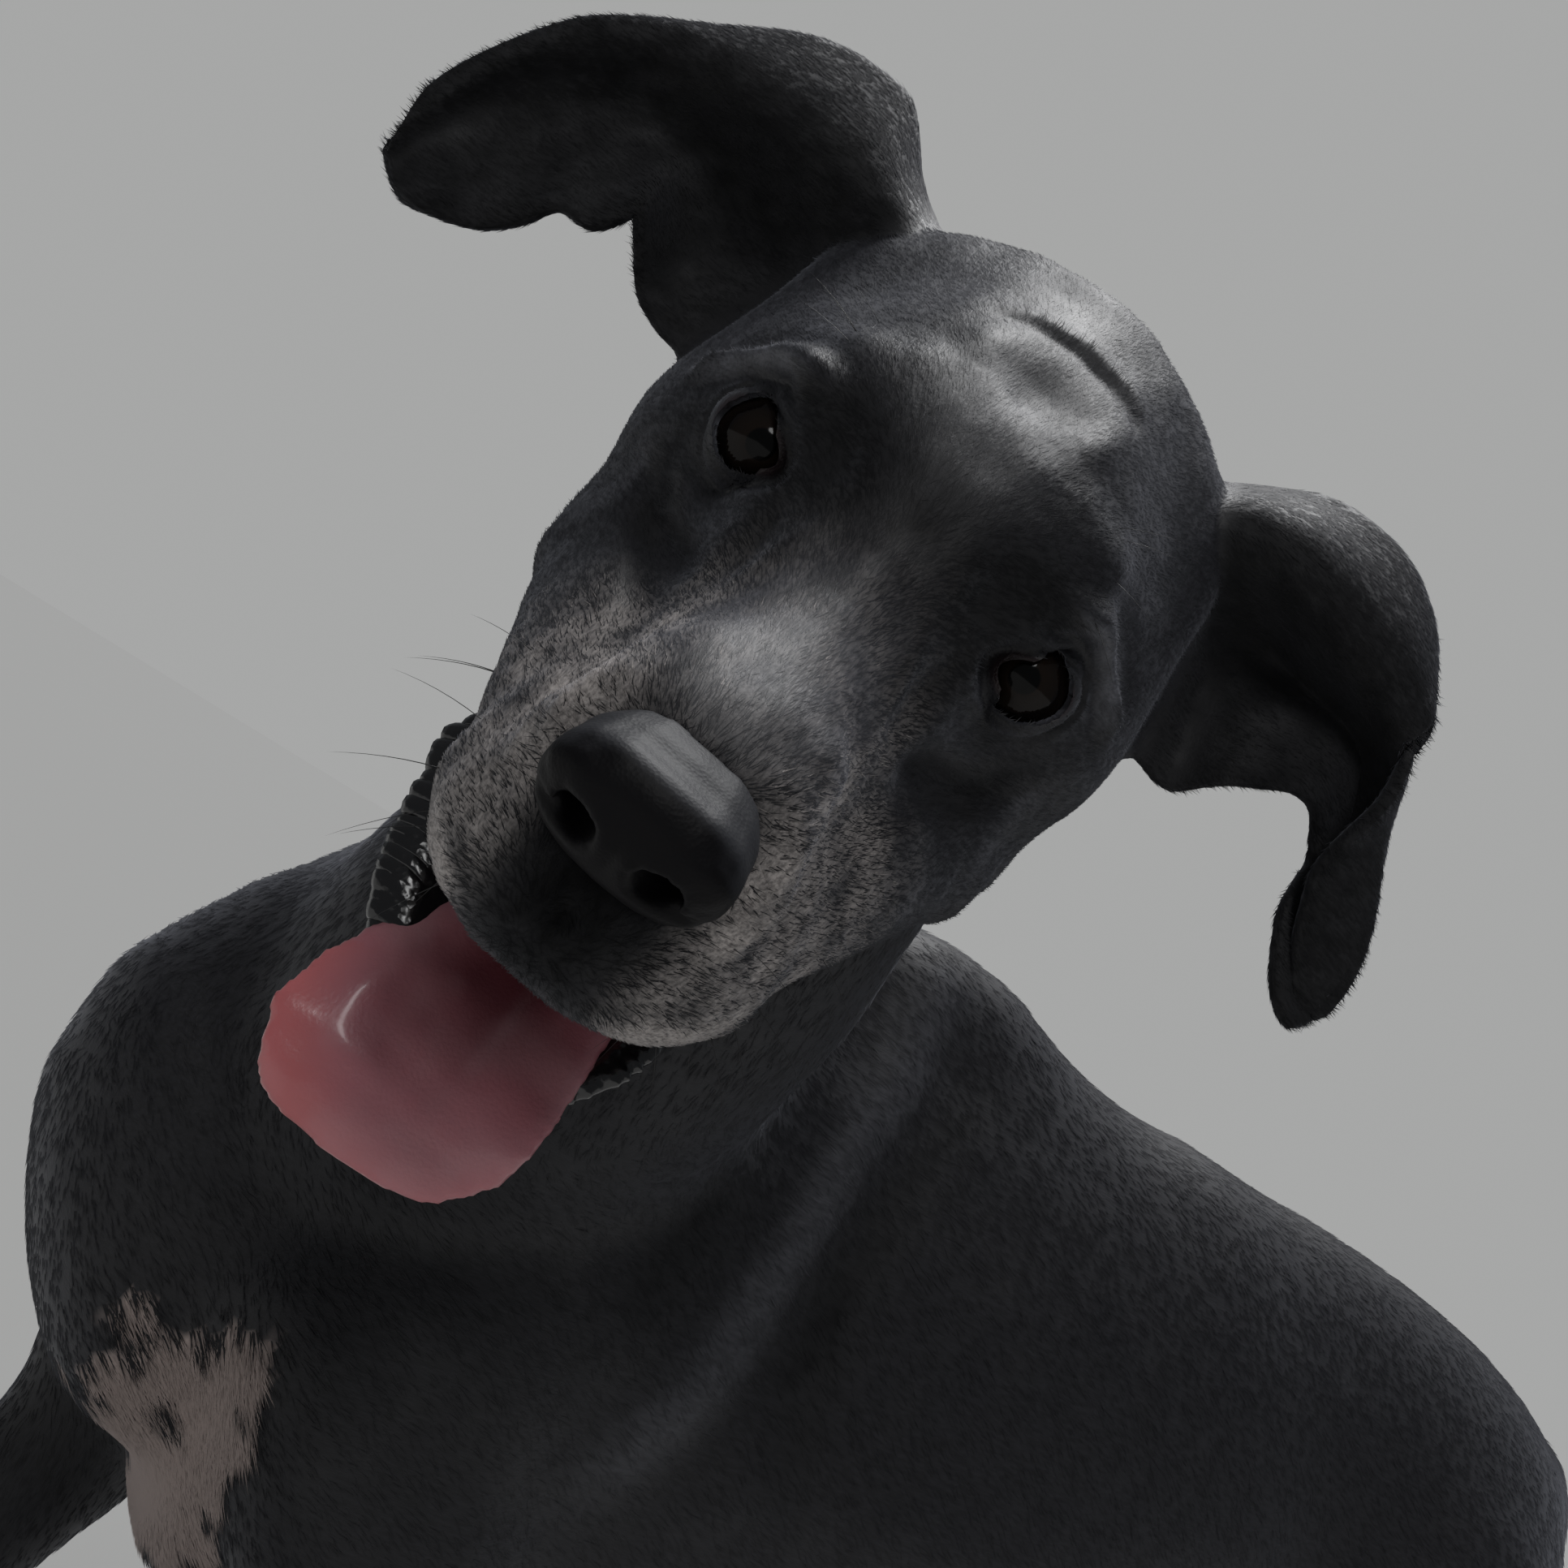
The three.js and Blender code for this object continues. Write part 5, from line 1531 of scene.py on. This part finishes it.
def backdrop(values):
    """A pale backdrop for the camera, and the sky's even light for all else."""
    world = bpy.data.worlds.new("Studio")
    world.use_nodes = True
    tree = world.node_tree
    sky = tree.nodes["Background"]
    set_inputs(sky, {"Color": (0.72, 0.76, 0.8, 1), "Strength": values.sky})
    seen = node(tree, "ShaderNodeBackground")
    seen.inputs["Color"].default_value = (*values.backdrop, 1)
    either = node(tree, "ShaderNodeMixShader")
    path = node(tree, "ShaderNodeLightPath")
    tree.links.new(path.outputs["Is Camera Ray"], either.inputs["Fac"])
    tree.links.new(sky.outputs["Background"], either.inputs[1])
    tree.links.new(seen.outputs["Background"], either.inputs[2])
    tree.links.new(either.outputs["Shader"], tree.nodes["World Output"].inputs["Surface"])
    return world


def soft_sun(name, way, power, breadth):
    light = bpy.data.lights.new(name, "SUN")
    light.angle = breadth
    light.energy = power
    lamp = bpy.data.objects.new(name, light)
    lamp.location = Vector(way) * 3
    lamp.rotation_euler = (-Vector(way)).to_track_quat("-Z", "Y").to_euler()
    return lamp


def rolled_camera(focal):
    data = bpy.data.cameras.new("camera")
    data.sensor_fit = "HORIZONTAL"
    data.sensor_width = 36
    data.lens = focal
    data.clip_start = 0.02
    camera = bpy.data.objects.new("camera", data)
    right = Vector((-math.sin(CAMERA_TURN), math.cos(CAMERA_TURN), 0))
    back = Vector((math.cos(CAMERA_TURN), math.sin(CAMERA_TURN), 0))
    up = Vector((0, 0, 1))
    across = right * math.cos(CAMERA_ROLL) + up * math.sin(CAMERA_ROLL)
    above = up * math.cos(CAMERA_ROLL) - right * math.sin(CAMERA_ROLL)
    place = Matrix((across, above, back)).transposed().to_4x4()
    place.translation = EYE_MIDDLE + CAMERA_AWAY
    camera.matrix_world = place
    return camera


class DANE_OT_stage(bpy.types.Operator):
    """Pale floor, soft lights and the camera"""

    bl_idname = "dane.stage"
    bl_label = "Stage"

    def execute(self, context):
        scene, values = context.scene, context.scene.dane_stage
        work = bmesh.new()
        bmesh.ops.create_grid(work, x_segments=1, y_segments=1, size=6)
        floor = new_object("floor", mesh_from(work, "floor"), smooth=False)
        floor.data.materials.append(plain_material("Floor", values.floor, 0.8)[0])
        scene.world = backdrop(values)
        key = soft_sun("key", values.key_way, values.key, values.softness)
        fill = soft_sun("fill", values.fill_way, values.fill, values.softness * 0.7)
        scene.camera = rolled_camera(values.focal)
        for item in (key, fill, scene.camera):
            scene.collection.objects.link(item)
        scene.view_settings.view_transform = "Standard"
        return {"FINISHED"}


class DANE_PT_panel(bpy.types.Panel):
    """Sizes, colours and pieces of the dane"""

    bl_label = "Dane"
    bl_space_type = "VIEW_3D"
    bl_region_type = "UI"
    bl_category = "Dane"

    def draw(self, context):
        for group in SETTINGS:
            column = self.layout.column(heading=group.removeprefix("dane_").title())
            values = getattr(context.scene, group)
            for key in values.__annotations__:
                column.prop(values, key)
        for operator in OPERATORS:
            self.layout.operator(operator.bl_idname)


SETTINGS = {
    "dane_skin": SkinSettings, "dane_coat": CoatSettings, "dane_looks": LookSettings,
    "dane_stage": StageSettings,
}
OPERATORS = [
    DANE_OT_skin, DANE_OT_eyes, DANE_OT_nose, DANE_OT_tongue, DANE_OT_lips, DANE_OT_claws, DANE_OT_coat,
    DANE_OT_whiskers, DANE_OT_stage,
]


def register():
    for name, settings in SETTINGS.items():
        bpy.utils.register_class(settings)
        setattr(bpy.types.Scene, name, bpy.props.PointerProperty(type=settings))
    for item in OPERATORS + [DANE_PT_panel]:
        bpy.utils.register_class(item)


def unregister():
    for item in [DANE_PT_panel] + OPERATORS[::-1]:
        bpy.utils.unregister_class(item)
    for name, settings in SETTINGS.items():
        delattr(bpy.types.Scene, name)
        bpy.utils.unregister_class(settings)


def main():
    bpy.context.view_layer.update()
    register()
    bpy.ops.dane.skin()
    bpy.ops.dane.eyes()
    bpy.ops.dane.nose()
    bpy.ops.dane.tongue()
    bpy.ops.dane.lips()
    bpy.ops.dane.claws()
    bpy.ops.dane.coat()
    bpy.ops.dane.whiskers()
    bpy.ops.dane.stage()


if __name__ == "__main__":
    main()
